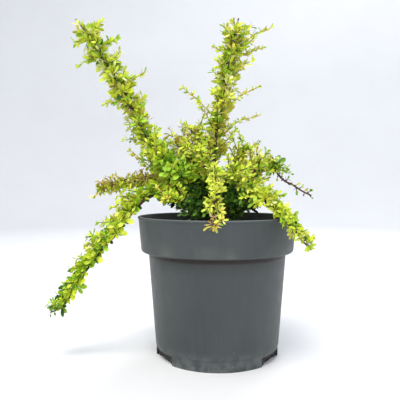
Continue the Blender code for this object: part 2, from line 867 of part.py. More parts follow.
def main():
    """Builds the pot, the medium, the basal stem, the boughs and the foliage masses."""
    clear_scene()
    parts = new_collection("japanese_barberry")
    cutters = new_collection("cutters", rendered=False)
    make_pot(parts, cutters)
    make_medium(parts)
    turned("basal_stem", stock_profile(0.0), STOCK_SEGMENTS, parts, BARK)
    clearance = turned("basal_stem_clearance", stock_profile(GAP), STOCK_SEGMENTS, cutters, BARK)
    clearance.hide_render = True
    clearance.display_type = "WIRE"
    apply_modifiers(clearance)
    stems = [stem for seed, route in enumerate(ROUTES) for stem in stems_of(route, seed)]
    leaf = leaf_mesh()
    for seed, stem in enumerate(stems):
        if stem.is_bough:
            mesh = tube_mesh(stem.name, stem.points, stem.radii, BOUGH_RESOLUTION)
            cut_clear(add_object(stem.name, mesh, parts, BARK), clearance)
        else:
            make_mass(stem, stems, seed, leaf, parts)


main()
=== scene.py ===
"""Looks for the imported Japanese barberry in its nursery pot, in metres with +Z up.

The limbs follow the routes that the solids have. Leaves, spurs, thorns and thin shoots grow on from them by the
same seeded rule, carried finer, and each kind is joined into one mesh for each colour. -Y is the side seen.
"""

import logging
import math
import random
from dataclasses import dataclass, replace
from enum import Enum
from typing import Any

import bmesh
import bpy
import numpy as np
from mathutils import Matrix, Vector, noise


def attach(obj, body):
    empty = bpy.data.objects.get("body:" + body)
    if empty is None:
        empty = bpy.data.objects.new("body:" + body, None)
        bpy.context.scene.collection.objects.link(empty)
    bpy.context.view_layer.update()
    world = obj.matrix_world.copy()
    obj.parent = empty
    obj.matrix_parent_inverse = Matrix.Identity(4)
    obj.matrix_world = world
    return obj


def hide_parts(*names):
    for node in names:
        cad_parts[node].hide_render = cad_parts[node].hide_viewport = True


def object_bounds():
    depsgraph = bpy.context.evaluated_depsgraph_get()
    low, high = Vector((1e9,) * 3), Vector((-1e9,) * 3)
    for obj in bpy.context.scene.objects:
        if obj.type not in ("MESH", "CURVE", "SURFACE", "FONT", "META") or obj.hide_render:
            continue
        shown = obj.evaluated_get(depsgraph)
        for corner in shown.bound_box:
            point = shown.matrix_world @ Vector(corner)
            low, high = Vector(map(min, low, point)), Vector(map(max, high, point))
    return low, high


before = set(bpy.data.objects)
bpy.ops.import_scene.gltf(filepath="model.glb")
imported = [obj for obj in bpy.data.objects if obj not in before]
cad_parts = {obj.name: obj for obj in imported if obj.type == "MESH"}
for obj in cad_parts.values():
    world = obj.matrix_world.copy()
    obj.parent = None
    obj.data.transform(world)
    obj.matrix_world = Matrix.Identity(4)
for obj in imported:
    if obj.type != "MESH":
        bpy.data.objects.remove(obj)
CAD_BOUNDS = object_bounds()

LOG = logging.getLogger("barberry")
MM = 0.001
BODY = "root"
MERGE_DISTANCE = 0.01 * MM
UP = Vector((0.0, 0.0, 1.0))

# The growth rule's numbers, as the solids have them.
GOLDEN_ANGLE = math.radians(137.5)
AROUND_SPREAD = 0.4
STEM_STEP = 13.0 * MM
CURVE_SAMPLES = 24
ZIGZAG = 0.7 * MM
TIP_RADIUS = 0.8 * MM
MEDIUM_TOP = 141.0 * MM

Nodes = dict[str | int, Any]


def linear(colour: str) -> tuple[float, float, float, float]:
    """Turns an sRGB hex colour into the linear values that shaders use.

    Args:
        colour: the colour as "#rrggbb".

    Returns:
        Red, green, blue and an alpha of one.
    """
    channels = [int(colour[place : place + 2], 16) / 255.0 for place in (1, 3, 5)]
    low, slope, offset, power = 0.04045, 12.92, 0.055, 2.4
    bent = [c / slope if c <= low else ((c + offset) / (1.0 + offset)) ** power for c in channels]
    return (bent[0], bent[1], bent[2], 1.0)


def add_node(
    tree: bpy.types.NodeTree,
    kind: str,
    settings: Nodes | None = None,
    values: Nodes | None = None,
    links: Nodes | None = None,
) -> bpy.types.Node:
    """Adds a shader node with its settings, input values and incoming links.

    Args:
        tree: the material's node tree.
        kind: the node's type name.
        settings: attributes of the node.
        values: input sockets' own values, by name or number.
        links: the output socket that feeds each named or numbered input.

    Returns:
        The node.
    """
    made = tree.nodes.new(kind)
    for key, value in (settings or {}).items():
        setattr(made, str(key), value)
    for key, value in (values or {}).items():
        made.inputs[key].default_value = value
    for key, socket in (links or {}).items():
        tree.links.new(socket, made.inputs[key])
    return made


def new_material(name: str) -> tuple[bpy.types.Material, bpy.types.NodeTree, bpy.types.Node]:
    """Starts a material.

    Args:
        name: the material's name.

    Returns:
        The material, its node tree and its Principled shader.
    """
    made = bpy.data.materials.new(name)
    made.use_nodes = True
    return made, made.node_tree, made.node_tree.nodes["Principled BSDF"]


@dataclass(frozen=True)
class MouldedPolypropylene:
    """Injection-moulded polypropylene: a satin slate grey with faint flow streaks, dusty at the foot, soil and painted
    shadow under the collar.
    """

    name: str = "moulded_polypropylene_slate"
    body: str = "#3b4142"
    clear: str = "#434949"
    streak: str = "#4d4f4b"
    dust: str = "#8a8f8f"
    lip: str = "#6c7476"
    inner: str = "#25292a"
    soil_and_shadow: str = "#1f1612"
    shade_under_foot: str = "#120e0b"
    roughness: float = 0.46
    ior: float = 1.49

    def material(self) -> bpy.types.Material:
        """Builds the material."""
        made, tree, shader = new_material(self.name)
        place = add_node(tree, "ShaderNodeTexCoord").outputs["Object"]
        height = add_node(tree, "ShaderNodeSeparateXYZ", links={0: place}).outputs["Z"]

        def pattern(size: float, detail: float, squash: float = 1.0) -> bpy.types.NodeSocket:
            """Noise with grains of this size, drawn out along the height by squash."""
            scale = (1.0, 1.0, squash)
            flat = add_node(tree, "ShaderNodeMapping", values={"Scale": scale}, links={"Vector": place})
            grain = {"Scale": 1.0 / size, "Detail": detail}
            return add_node(tree, "ShaderNodeTexNoise", values=grain, links={"Vector": flat.outputs[0]}).outputs[0]

        def ranged(value: bpy.types.NodeSocket, low: float, high: float, top: float = 1.0) -> bpy.types.NodeSocket:
            """The value mapped from low..high to 0..top, and held there beyond."""
            limits = {1: low, 2: high, 3: 0.0, 4: top}
            return add_node(tree, "ShaderNodeMapRange", values=limits, links={0: value}).outputs[0]

        def times(first: bpy.types.NodeSocket, second: bpy.types.NodeSocket) -> bpy.types.NodeSocket:
            """The product of two values."""
            return add_node(tree, "ShaderNodeMath", {"operation": "MULTIPLY"}, links={0: first, 1: second}).outputs[0]

        def mixed(share: bpy.types.NodeSocket, under: bpy.types.NodeSocket, over: str) -> bpy.types.NodeSocket:
            """A colour laid over another by share."""
            kind = {"data_type": "RGBA"}
            links = {0: share, 6: under}
            return add_node(tree, "ShaderNodeMix", kind, values={7: linear(over)}, links=links).outputs[2]

        # Flow mottle of 30 mm, and streaks 3 mm wide that run down the wall as the melt did.
        mottle = ranged(pattern(45 * MM, 4.0, 0.5), 0.3, 0.7)
        under = {6: linear(self.body), 7: linear(self.clear)}
        colour = add_node(tree, "ShaderNodeMix", {"data_type": "RGBA"}, values=under, links={0: mottle}).outputs[2]
        colour = mixed(ranged(pattern(3 * MM, 3.0, 0.02), 0.48, 0.80, 0.26), colour, self.streak)
        middle = add_node(tree, "ShaderNodeVectorMath", {"operation": "MULTIPLY"}, {1: (1.0, 1.0, 0.0)}, {0: place})
        spread = add_node(tree, "ShaderNodeVectorMath", {"operation": "LENGTH"}, links={0: middle.outputs[0]})
        radius = spread.outputs["Value"]
        # Painted shade on the collar's inside, told from its outside by a cone that runs within the wall.
        slanted = {"operation": "MULTIPLY_ADD"}
        within = add_node(tree, "ShaderNodeMath", slanted, values={1: -0.0861}, links={0: height, 2: radius})
        inside = times(ranged(within.outputs[0], 79.75 * MM, 79.15 * MM, 0.75), ranged(height, 124 * MM, 130 * MM))
        colour = mixed(inside, colour, self.inner)
        # Painted highlight on the lip's edge.
        colour = mixed(ranged(height, 163.0 * MM, 163.7 * MM, 0.6), colour, self.lip)
        # Splashed dust that fades up from the foot in soft blotches.
        blotch = ranged(pattern(9 * MM, 6.0), 0.35, 0.70)
        colour = mixed(times(ranged(height, 22.0 * MM, 3.0 * MM, 0.40), blotch), colour, self.dust)
        # Under the collar: a thin dark rim that is soil residue and painted shadow, and a painted shadow that fades
        # down the wall.
        collar_shadow = times(ranged(height, 104 * MM, 119 * MM, 0.40), ranged(height, 124 * MM, 122 * MM))
        colour = mixed(collar_shadow, colour, self.soil_and_shadow)
        blotch = ranged(pattern(7 * MM, 5.0), 0.10, 0.40)
        rim = times(ranged(height, 116.5 * MM, 118.5 * MM, 0.97), ranged(height, 124 * MM, 122 * MM))
        colour = mixed(times(rim, blotch), colour, self.soil_and_shadow)
        # Painted shade in the drainage notches and under the foot, which makes them read as dark holes.
        hidden = ranged(radius, 72.4 * MM, 71.6 * MM, 0.95)
        colour = mixed(times(hidden, ranged(height, 12.5 * MM, 11.5 * MM)), colour, self.shade_under_foot)
        # A faint paler scuff low on the collar, as dried water leaves it.
        scuff = times(ranged(height, 140 * MM, 125 * MM, 0.16), ranged(height, 123 * MM, 125 * MM))
        colour = mixed(times(scuff, ranged(pattern(40 * MM, 8.0), 0.45, 0.62)), colour, "#8f8c7d")
        specks = times(ranged(pattern(1.3 * MM, 2.0), 0.735, 0.755), ranged(height, 45 * MM, 5 * MM))
        colour = mixed(specks, colour, "#b9b7ae")
        tree.links.new(colour, shader.inputs["Base Color"])
        rough = ranged(pattern(12 * MM, 4.0), 0.2, 0.8, 0.16)
        added = {"operation": "ADD"}
        gloss = add_node(tree, "ShaderNodeMath", added, values={1: self.roughness - 0.06}, links={0: rough})
        tree.links.new(gloss.outputs[0], shader.inputs["Roughness"])
        # The mould's spark-eroded grain, drawn at 0.5 mm so that it shows.
        skin = {"Strength": 0.12, "Distance": 0.1 * MM}
        bump = add_node(tree, "ShaderNodeBump", values=skin, links={"Height": pattern(0.5 * MM, 2.0)})
        tree.links.new(bump.outputs[0], shader.inputs["Normal"])
        shader.inputs["IOR"].default_value = self.ior
        shader.inputs["Specular IOR Level"].default_value = 0.35
        return made


@dataclass(frozen=True)
class GroundBark:
    """Milled or grown bark: dull, broken in tone, and rough at the given grain size."""

    name: str
    dark: str
    pale: str
    grain: float
    roughness: float = 0.9
    relief: float = 0.4
    squash: float = 1.0

    def material(self) -> bpy.types.Material:
        """Builds the material."""
        made, tree, shader = new_material(self.name)
        place = add_node(tree, "ShaderNodeTexCoord").outputs["Object"]
        scaled = add_node(tree, "ShaderNodeMapping", values={"Scale": (1.0, 1.0, self.squash)}, links={0: place})
        grain = {"Scale": 1.0 / self.grain, "Detail": 6.0, "Roughness": 0.65}
        texture = add_node(tree, "ShaderNodeTexNoise", values=grain, links={"Vector": scaled.outputs[0]})
        share = add_node(tree, "ShaderNodeMapRange", values={1: 0.32, 2: 0.68}, links={0: texture.outputs[0]})
        ends = {6: linear(self.dark), 7: linear(self.pale)}
        kind = {"data_type": "RGBA"}
        colour = add_node(tree, "ShaderNodeMix", kind, values=ends, links={0: share.outputs[0]}).outputs[2]
        tree.links.new(colour, shader.inputs["Base Color"])
        depth = {"Strength": self.relief, "Distance": 0.4 * self.grain}
        bump = add_node(tree, "ShaderNodeBump", values=depth, links={"Height": texture.outputs[0]})
        tree.links.new(bump.outputs[0], shader.inputs["Normal"])
        shader.inputs["Roughness"].default_value = self.roughness
        return made


@dataclass(frozen=True)
class LeafSkin:
    """A deciduous leaf's waxy skin: one plain colour with a soft sheen and a faint blister between the veins."""

    name: str
    colour: str
    roughness: float = 0.54
    ior: float = 1.42

    def material(self) -> bpy.types.Material:
        """Builds the material."""
        made, tree, shader = new_material(self.name)
        shader.inputs["Base Color"].default_value = linear(self.colour)
        shader.inputs["Roughness"].default_value = self.roughness
        shader.inputs["IOR"].default_value = self.ior
        place = add_node(tree, "ShaderNodeTexCoord").outputs["Object"]
        blister = {"Scale": 1.0 / (1.6 * MM), "Detail": 2.0}
        height = add_node(tree, "ShaderNodeTexNoise", values=blister, links={"Vector": place}).outputs[0]
        depth = {"Strength": 0.35, "Distance": 0.25 * MM}
        bump = add_node(tree, "ShaderNodeBump", values=depth, links={"Height": height})
        tree.links.new(bump.outputs[0], shader.inputs["Normal"])
        return made


BARK_COMPOST = GroundBark("composted_bark_moist", "#1d1611", "#4a382a", 2.2 * MM, 0.95, 0.8)
CHIP_DARK = GroundBark("bark_chip_dark", "#2b2019", "#5a4433", 1.6 * MM, 0.92, 0.6)
CHIP_PALE = GroundBark("bark_chip_pale", "#5d4634", "#9a7b5b", 1.8 * MM, 0.88, 0.5)
RIDGED_BARK = GroundBark("barberry_bark_ridged", "#2c1f1b", "#6b4f3f", 1.4 * MM, 0.82, 0.5, 0.35)
YOUNG_BARK = GroundBark("young_shoot_skin", "#8a6a3c", "#b5a04c", 2.5 * MM, 0.6, 0.15)
DRY_THORN = GroundBark("thorn_dry_tan", "#7b6243", "#b39a6c", 1.2 * MM, 0.55, 0.1)
BUD_SCALE = GroundBark("bud_scale_dark", "#231815", "#4f3328", 0.8 * MM, 0.7, 0.3)
STUDIO_SHEET = GroundBark("studio_sheet_matt", "#d6d8db", "#dadcdf", 400 * MM, 0.9, 0.0)


class Tone(Enum):
    """The leaves' colours: the joined piece's name, the sRGB colour and the record's slot."""

    PALE = ("leaves_pale_lime", "#d6dc92", "leaf_lime")
    LIGHT = ("leaves_light_lime", "#d9e455", "leaf_lime")
    LIME = ("leaves_lime", "#c3d234", "leaf_lime")
    OLIVE = ("leaves_olive", "#b7b444", "leaf_lime")
    FRESH = ("leaves_fresh_green", "#9bc42e", "leaf_green")
    GREEN = ("leaves_green", "#649224", "leaf_green")
    DEEP = ("leaves_deep_green", "#2f5519", "leaf_green")
    YELLOW = ("leaves_yellow", "#e3df5e", "leaf_gold")
    GOLD = ("leaves_gold", "#c4b645", "leaf_gold")
    BRONZE = ("leaves_bronze", "#a58444", "leaf_gold")
    PINK = ("leaves_pink", "#cfa985", "leaf_gold")

    @property
    def piece(self) -> str:
        """The joined piece's name."""
        return self.value[0]

    @property
    def colour(self) -> str:
        """The sRGB colour."""
        return self.value[1]

    @property
    def slot(self) -> str:
        """The record's material slot."""
        return self.value[2]


Tones = tuple[tuple[Tone, float], ...]
Bands = tuple[tuple[float, Tones], ...]


@dataclass(frozen=True)
class Dress:
    """How a limb is clothed, in millimetres and degrees.

    bands holds palettes, each with the share of the limb where it starts. slant is how far the tufts lean
    towards the limb's tip, lift how much they turn up, spread how far their outer leaves open, and face the
    side that they keep to. tip_size is how large the last leaves are beside the first. twig is the length of
    the side twigs, which stand at one node in twig_every, and wild the number of thin young shoots.
    """

    bands: Bands
    leaf: tuple[float, float] = (6.0, 13.0)
    leaves: tuple[int, int] = (6, 9)
    node_step: float = 4.0
    slant: float = 42.0
    lift: float = 0.25
    spread: float = 54.0
    narrow: float = 0.40
    tip_size: float = 1.0
    twig: float = 24.0
    twig_every: int = 1
    wild: int = 5
    low_start: float = 0.2
    end: float = 1.0
    sparse_from: float = 2.0
    face: tuple[float, float, float] | None = None
    knob: tuple[float, float, float] | None = None


@dataclass(frozen=True)
class Shoot:
    """A side shoot, in millimetres: the share of the limb where it leaves, its tip and its largest leaf.

    bulge is how far its middle stands above the straight line, as a share of its length. A pale one is thin
    and young, and one that is not is a leafy twig.
    """

    share: float
    tip: tuple[float, float, float]
    leaf: float = 8.0
    bulge: float = 0.04
    pale: bool = True


@dataclass(frozen=True)
class Route:
    """One limb, in millimetres. It starts inside the basal stem, and its bough ends where foliage starts."""

    name: str
    root_radius: float
    root_height: float
    points: tuple[tuple[float, float, float], ...]
    foot_radius: float
    starts: tuple[tuple[str, float], ...]
    slot: str
    dress: Dress
    shoots: tuple[Shoot, ...] = ()


SPRING = ((Tone.LIME, 4.5), (Tone.PALE, 3.0), (Tone.OLIVE, 2.5), (Tone.LIGHT, 2.0), (Tone.FRESH, 2.0))
WARM = ((Tone.LIME, 3.5), (Tone.PALE, 3.0), (Tone.OLIVE, 3.5), (Tone.LIGHT, 1.5), (Tone.FRESH, 1.6), (Tone.GOLD, 0.6))
BRIGHT = ((Tone.LIGHT, 4.0), (Tone.LIME, 5.0), (Tone.PALE, 0.8), (Tone.FRESH, 1.8))
ARCHING = ((Tone.LIME, 6.0), (Tone.LIGHT, 2.5), (Tone.FRESH, 3.0), (Tone.PALE, 1.0))
SUNNY = ((Tone.YELLOW, 4.0), (Tone.LIGHT, 4.0), (Tone.GOLD, 1.0))
FLUSH = ((Tone.GOLD, 2.5), (Tone.YELLOW, 3.0), (Tone.BRONZE, 1.0), (Tone.PINK, 1.5))
GILDED = ((Tone.OLIVE, 4.0), (Tone.GOLD, 2.2), (Tone.LIME, 2.4), (Tone.BRONZE, 1.3), (Tone.YELLOW, 0.6))
VERDANT = ((Tone.FRESH, 5.0), (Tone.LIME, 3.0), (Tone.GREEN, 1.5))
LEAFY = ((Tone.FRESH, 8.0), (Tone.LIME, 1.0), (Tone.GREEN, 1.5))
TWIGGY = ((Tone.FRESH, 3.0), (Tone.GREEN, 4.0), (Tone.DEEP, 1.5), (Tone.OLIVE, 1.5))
MIXED = ((Tone.LIME, 5.0), (Tone.LIGHT, 3.5), (Tone.OLIVE, 0.8), (Tone.FRESH, 2.0))
# INSIDE: darker greens for the small leaves close to the limb, as painted shade.
INSIDE = ((Tone.GREEN, 3.0), (Tone.FRESH, 3.0), (Tone.DEEP, 2.0))
# SHADE: deep green for tufts low inside the shrub and for the first stretch of some low limbs, as painted shade.
SHADE = ((Tone.DEEP, 8.0), (Tone.GREEN, 1.0))

ROUTES = (
    Route(
        "left_rise", 3, 11,
        ((-30, -5, 184), (-62, -8, 218), (-113, -18, 314), (-158, -25, 386)),
        2.9, (("left_rise_lower", 0.30), ("left_rise_upper", 0.66)), "leaf_green",
        Dress(((0.0, SPRING),), leaf=(8.0, 18.5), leaves=(7, 9), node_step=4.7, slant=26.0,
              spread=70.0, narrow=0.38, twig=19.0, wild=3, end=0.965, knob=(-163, -25, 392)),
        (Shoot(0.86, (-161, -20, 341), 11.0), Shoot(0.70, (-84, -24, 331), 11.0),
         Shoot(0.64, (-133, -10, 298), 11.0), Shoot(0.45, (-111, -2, 256), 11.0),
         Shoot(0.40, (-104, -6, 268), 11.0), Shoot(0.88, (-117, -26, 369), 16.0, 0.0, False),
         Shoot(0.93, (-162, -30, 365), 15.0, 0.0, False), Shoot(0.95, (-136, -22, 390), 15.0, 0.0, False),
         Shoot(0.80, (-112, -30, 352), 14.0, 0.0, False)),
    ),
    Route(
        "right_rise", 0.1, 20,
        ((-2, 4, 200), (-3, 9, 245), (9, 12, 318), (24, 16, 395)),
        2.8, (("right_rise_lower", 0.32), ("right_rise_upper", 0.64)), "leaf_green",
        Dress(((0.0, WARM),), leaf=(7.0, 16.5), leaves=(6, 9), node_step=4.5, slant=30.0, spread=66.0,
              narrow=0.39, twig=22.0, wild=4, low_start=1.0, end=0.985, knob=(26, 16, 405)),
        (Shoot(0.50, (-41, 8, 319), 11.0), Shoot(0.54, (50, 8, 320), 10.0, 0.08),
         Shoot(0.40, (52, 20, 287), 9.0, 0.12), Shoot(0.88, (65, 10, 392), 11.0), Shoot(0.81, (56, 20, 371), 11.0),
         Shoot(0.83, (-3, 10, 369), 10.0), Shoot(0.89, (41, 12, 394), 16.0, 0.0, False),
         Shoot(0.84, (45, 10, 380), 15.0, 0.0, False), Shoot(0.76, (42, 8, 352), 15.0, 0.0, False),
         Shoot(0.86, (10, 10, 386), 14.0, 0.0, False), Shoot(0.74, (0, 6, 352), 15.0, 0.0, False),
         Shoot(0.70, (-4, 14, 340), 14.0, 0.0, False), Shoot(0.44, (-22, 10, 300), 11.0),
         Shoot(0.30, (22, 10, 268), 10.0), Shoot(0.24, (-18, 4, 256), 10.0), Shoot(0.28, (16, 4, 252), 10.0)),
    ),
    Route(
        "left_arch", 3, 4,
        ((-41, -17, 182), (-80, -24, 187), (-125, -30, 135), (-156, -33, 94), (-176, -35, 62),
         (-192, -36, 54)),
        2.4, (("left_arch_upper", 0.26), ("left_arch_middle", 0.52), ("left_arch_tip", 0.76)), "leaf_lime",
        Dress(((0.0, ARCHING), (0.72, VERDANT), (0.94, TWIGGY)), leaf=(7.5, 17.5), leaves=(8, 10), node_step=3.6,
              slant=8.0, lift=0.35, spread=70.0, tip_size=0.78, twig=17.0, twig_every=2, wild=2, low_start=0.15,
              sparse_from=0.95, face=(-0.62, -0.25, 0.70)),
        (Shoot(0.50, (-134, -38, 158), 13.0, 0.0, False), Shoot(0.60, (-150, -34, 132), 13.0, 0.0, False),
         Shoot(0.56, (-146, -38, 142), 13.0, 0.0, False), Shoot(0.66, (-160, -36, 116), 13.0, 0.0, False),
         Shoot(0.72, (-168, -36, 104), 12.0, 0.0, False), Shoot(0.32, (-104, -32, 195), 13.0, 0.0, False),
         Shoot(0.36, (-112, -34, 188), 13.0, 0.0, False), Shoot(0.42, (-119, -36, 175), 13.0, 0.0, False),
         Shoot(0.38, (-106, -38, 182), 13.0, 0.0, False), Shoot(0.86, (-180, -38, 80), 10.0, 0.0, False),
         Shoot(0.90, (-184, -36, 74), 10.0, 0.0, False), Shoot(0.92, (-180, -38, 70), 10.0, 0.0, False)),
    ),
    Route(
        "right_arch", 3, 7,
        ((21, -21, 181), (44, -42, 189), (66, -64, 172), (93, -79, 138)),
        2.2, (("right_arch_upper", 0.26), ("right_arch_tip", 0.62)), "leaf_lime",
        Dress(((0.0, ARCHING), (0.80, WARM)), leaf=(7.0, 16.0), leaves=(7, 10), node_step=3.6, slant=22.0,
              lift=0.3, spread=66.0, tip_size=0.55, twig=12.0, twig_every=2, wild=0, low_start=0.15,
              face=(0.25, -0.5, 0.7)),
        (Shoot(0.60, (78, -80, 166), 12.0, 0.0, False), Shoot(0.66, (74, -84, 158), 12.0, 0.0, False),
         Shoot(0.72, (86, -84, 152), 12.0, 0.0, False), Shoot(0.78, (80, -88, 148), 10.0, 0.0, False),
         Shoot(0.34, (44, -58, 180), 12.0, 0.0, False), Shoot(0.30, (30, -58, 188), 12.0, 0.0, False),
         Shoot(0.36, (54, -54, 194), 12.0, 0.0, False), Shoot(0.44, (60, -62, 188), 12.0, 0.0, False),
         Shoot(0.50, (70, -58, 190), 12.0, 0.0, False)),
    ),
    Route(
        "front_arch", 3, 8,
        ((-1, -28, 194), (-2, -56, 213), (-1, -88, 198), (-2, -109, 160)),
        2.1, (("front_arch_upper", 0.28), ("front_arch_tip", 0.64)), "leaf_gold",
        Dress(((0.0, ARCHING), (0.68, SUNNY), (0.94, FLUSH)), leaf=(6.0, 14.5), leaves=(7, 10), narrow=0.30,
              node_step=3.6, slant=34.0, lift=0.15, spread=74.0, tip_size=0.4, twig=12.0, twig_every=2, wild=0,
              face=(0.0, -0.8, 0.2)),
    ),
    Route(
        "back_arch", 3, 8,
        ((-6, 34, 188), (-18, 74, 196), (-28, 112, 174), (-34, 134, 132)),
        2.1, (("back_arch_upper", 0.28), ("back_arch_tip", 0.62)), "leaf_lime",
        Dress(((0.0, BRIGHT), (0.8, SUNNY)), leaf=(6.0, 13.0), leaves=(7, 9), node_step=3.6, narrow=0.42,
              slant=30.0, spread=62.0, lift=0.1, twig=12.0, twig_every=2, wild=2, end=0.98),
    ),
    Route(
        "left_side", 3, 9,
        ((-42, 18, 190), (-84, 23, 207), (-148, 30, 198)),
        2.0, (("left_side", 0.40),), "leaf_gold",
        Dress(((0.0, MIXED), (0.4, GILDED)), leaf=(5.0, 12.5), node_step=2.4, lift=-0.3, tip_size=0.85, twig=14.0,
              wild=2),
        (Shoot(0.50, (-104, -4, 242), 11.0),),
    ),
    Route(
        "right_side", 3, 11,
        ((28, 14, 194), (58, 22, 227), (86, 26, 206), (119, 30, 188)),
        1.9, (("right_side_inner", 0.30), ("right_side_tip", 0.64)), "leaf_lime",
        Dress(((0.0, MIXED), (0.5, VERDANT), (0.64, TWIGGY)), leaf=(5.0, 13.0), lift=0.5, twig=15.0, wild=3,
              sparse_from=0.64),
        (Shoot(0.60, (76, 14, 229), 18.0, 0.0, False), Shoot(0.62, (84, 16, 222), 16.0, 0.0, False),
         Shoot(0.50, (61, 14, 241), 15.0, 0.0, False), Shoot(0.56, (68, 10, 218), 14.0, 0.0, False)),
    ),
    Route(
        "top_left", 6, 21, ((-20, 3, 212), (-42, -2, 254)), 1.8, (("top_left", 0.22),), "leaf_gold",
        Dress(((0.0, MIXED), (0.5, GILDED)), leaf=(5.0, 11.5), node_step=3.4, narrow=0.38, twig=26.0, wild=7,
              low_start=1.0),
        (Shoot(0.6, (-57, -2, 268)), Shoot(0.8, (-37, 2, 272)), Shoot(0.7, (-48, -14, 256)),
         Shoot(0.5, (-24, -12, 250)), Shoot(0.4, (-62, -20, 246))),
    ),
    Route(
        "top_middle", 6, 23, ((-8, 18, 214), (-27, 18, 268)), 1.7, (("top_middle", 0.26),), "leaf_gold",
        Dress(((0.0, GILDED), (0.8, BRIGHT)), leaf=(5.0, 11.5), node_step=3.4, narrow=0.38, wild=7, low_start=1.0),
        (Shoot(0.6, (-14, 8, 262), 10.0), Shoot(0.8, (-38, 14, 276), 10.0), Shoot(0.5, (-8, 4, 248), 10.0)),
    ),
    Route(
        "top_right", 6, 21, ((18, 14, 206), (34, 22, 246)), 1.7, (("top_right", 0.28),), "leaf_lime",
        Dress(((0.0, WARM), (0.6, MIXED)), leaf=(5.5, 12.0), wild=6, low_start=1.0),
        (Shoot(0.85, (17, 8, 264), 9.0), Shoot(0.7, (44, 4, 246), 9.0), Shoot(0.6, (54, 10, 236), 9.0),
         Shoot(0.75, (26, 2, 250), 9.0)),
    ),
    Route(
        "left_shoulder", 6, 24, ((-30, -19, 206), (-70, -32, 238)), 1.8, (("left_shoulder", 0.28),),
        "leaf_green",
        Dress(((0.0, LEAFY), (0.85, MIXED)), leaf=(7.0, 15.0), spread=60.0, narrow=0.48, wild=4, low_start=1.0),
        (Shoot(0.7, (-72, -26, 254), 10.0), Shoot(0.5, (-54, -22, 252), 10.0), Shoot(0.9, (-84, -30, 240), 10.0)),
    ),
    Route(
        "front_left", 3, 13, ((-24, -22, 194), (-50, -46, 216)), 1.8, (("front_left", 0.28),),
        "leaf_green",
        Dress(((0.0, SHADE), (0.4, LEAFY)), leaf=(7.0, 15.0), spread=60.0, narrow=0.50, twig=20.0, wild=3),
    ),
    Route(
        "front_left_low", 3, 8, ((-22, -33, 172), (-56, -56, 184)), 1.7, (("front_left_low", 0.28),),
        "leaf_lime",
        Dress(((0.0, SHADE), (0.66, MIXED), (0.93, FLUSH)), leaf=(5.0, 12.5), lift=0.9, twig=16.0, wild=1,
              face=(-0.4, -0.4, 0.8)),
        (Shoot(0.36, (-22, -56, 172), 12.0, 0.0, False), Shoot(0.40, (-36, -58, 170), 12.0, 0.0, False),
         Shoot(0.32, (-12, -52, 170), 12.0, 0.0, False), Shoot(0.34, (-28, -52, 164), 12.0, 0.0, False),
         Shoot(0.44, (-42, -50, 176), 12.0, 0.0, False), Shoot(0.30, (-18, -46, 182), 12.0, 0.0, False)),
    ),
    Route(
        "centre_front", 6, 21, ((-10, -20, 206), (-22, -36, 240)), 1.7, (("centre_front", 0.28),),
        "leaf_lime", Dress(((0.0, MIXED), (0.7, BRIGHT)), twig=26.0, wild=7, low_start=1.0),
    ),
    Route(
        "front_right", 3, 15, ((12, -24, 194), (22, -48, 216)), 1.7, (("front_right", 0.28),),
        "leaf_lime", Dress(((0.0, MIXED), (0.5, BRIGHT)), wild=7),
        (Shoot(0.7, (34, -62, 196), 10.0), Shoot(0.6, (46, -50, 202), 10.0)),
    ),
    Route(
        "right_front", 4, 17, ((26, -8, 198), (50, -14, 226)), 1.8, (("right_front", 0.28),),
        "leaf_lime", Dress(((0.0, MIXED), (0.6, WARM)), twig=26.0, wild=7),
        (Shoot(0.6, (54, -2, 228)), Shoot(0.8, (70, -6, 232)), Shoot(0.9, (40, -10, 246))),
    ),
    Route(
        "right_low", 3, 5, ((32, -3, 172), (62, -8, 186)), 1.7, (("right_low", 0.28),),
        "leaf_green", Dress(((0.0, SHADE), (0.5, VERDANT), (0.7, MIXED)), leaf=(5.0, 12.0), twig=22.0, wild=4),
    ),
    Route(
        "back_left", 3, 11, ((-22, 30, 198), (-44, 68, 226)), 1.9, (("back_left", 0.26),),
        "leaf_green", Dress(((0.0, VERDANT), (0.6, MIXED)), leaf=(5.5, 13.5), narrow=0.42, twig=28.0),
        (Shoot(0.50, (-60, 58, 194), 14.0, 0.06, False), Shoot(0.45, (-20, 70, 200), 14.0, 0.06, False),
         Shoot(0.60, (-42, 88, 210), 14.0, 0.06, False), Shoot(0.55, (-70, 48, 214), 14.0, 0.06, False),
         Shoot(0.70, (-26, 84, 226), 14.0, 0.06, False), Shoot(0.65, (-66, 74, 228), 14.0, 0.06, False)),
    ),
    Route(
        "back_right", 3, 13, ((22, 36, 194), (42, 78, 214)), 1.9, (("back_right", 0.26),),
        "leaf_lime", Dress(((0.0, MIXED), (0.6, BRIGHT)), leaf=(5.5, 13.5), narrow=0.42, twig=28.0),
        (Shoot(0.50, (56, 60, 190), 14.0, 0.06, False), Shoot(0.45, (22, 78, 196), 14.0, 0.06, False),
         Shoot(0.60, (62, 82, 204), 14.0, 0.06, False), Shoot(0.55, (64, 50, 210), 14.0, 0.06, False),
         Shoot(0.70, (28, 94, 214), 14.0, 0.06, False), Shoot(0.65, (8, 70, 212), 14.0, 0.06, False)),
    ),
)


def curve_through(given: np.ndarray, samples: int) -> np.ndarray:
    """A smooth curve through points.

    Args:
        given: the points, one to a row.
        samples: how many steps each stretch between two of them gets.

    Returns:
        The curve's points, which include the given ones.
    """
    ends = np.vstack([2 * given[0] - given[1], given, 2 * given[-1] - given[-2]])
    share = np.linspace(0.0, 1.0, samples, endpoint=False)[:, None]
    square, cube = share**2, share**3
    pieces = [
        0.5
        * (
            2 * start
            + (end - before) * share
            + (2 * before - 5 * start + 4 * end - after) * square
            + (3 * start - before - 3 * end + after) * cube
        )
        for before, start, end, after in zip(ends, ends[1:], ends[2:], ends[3:])
    ]
    return np.vstack([*pieces, given[-1:]])


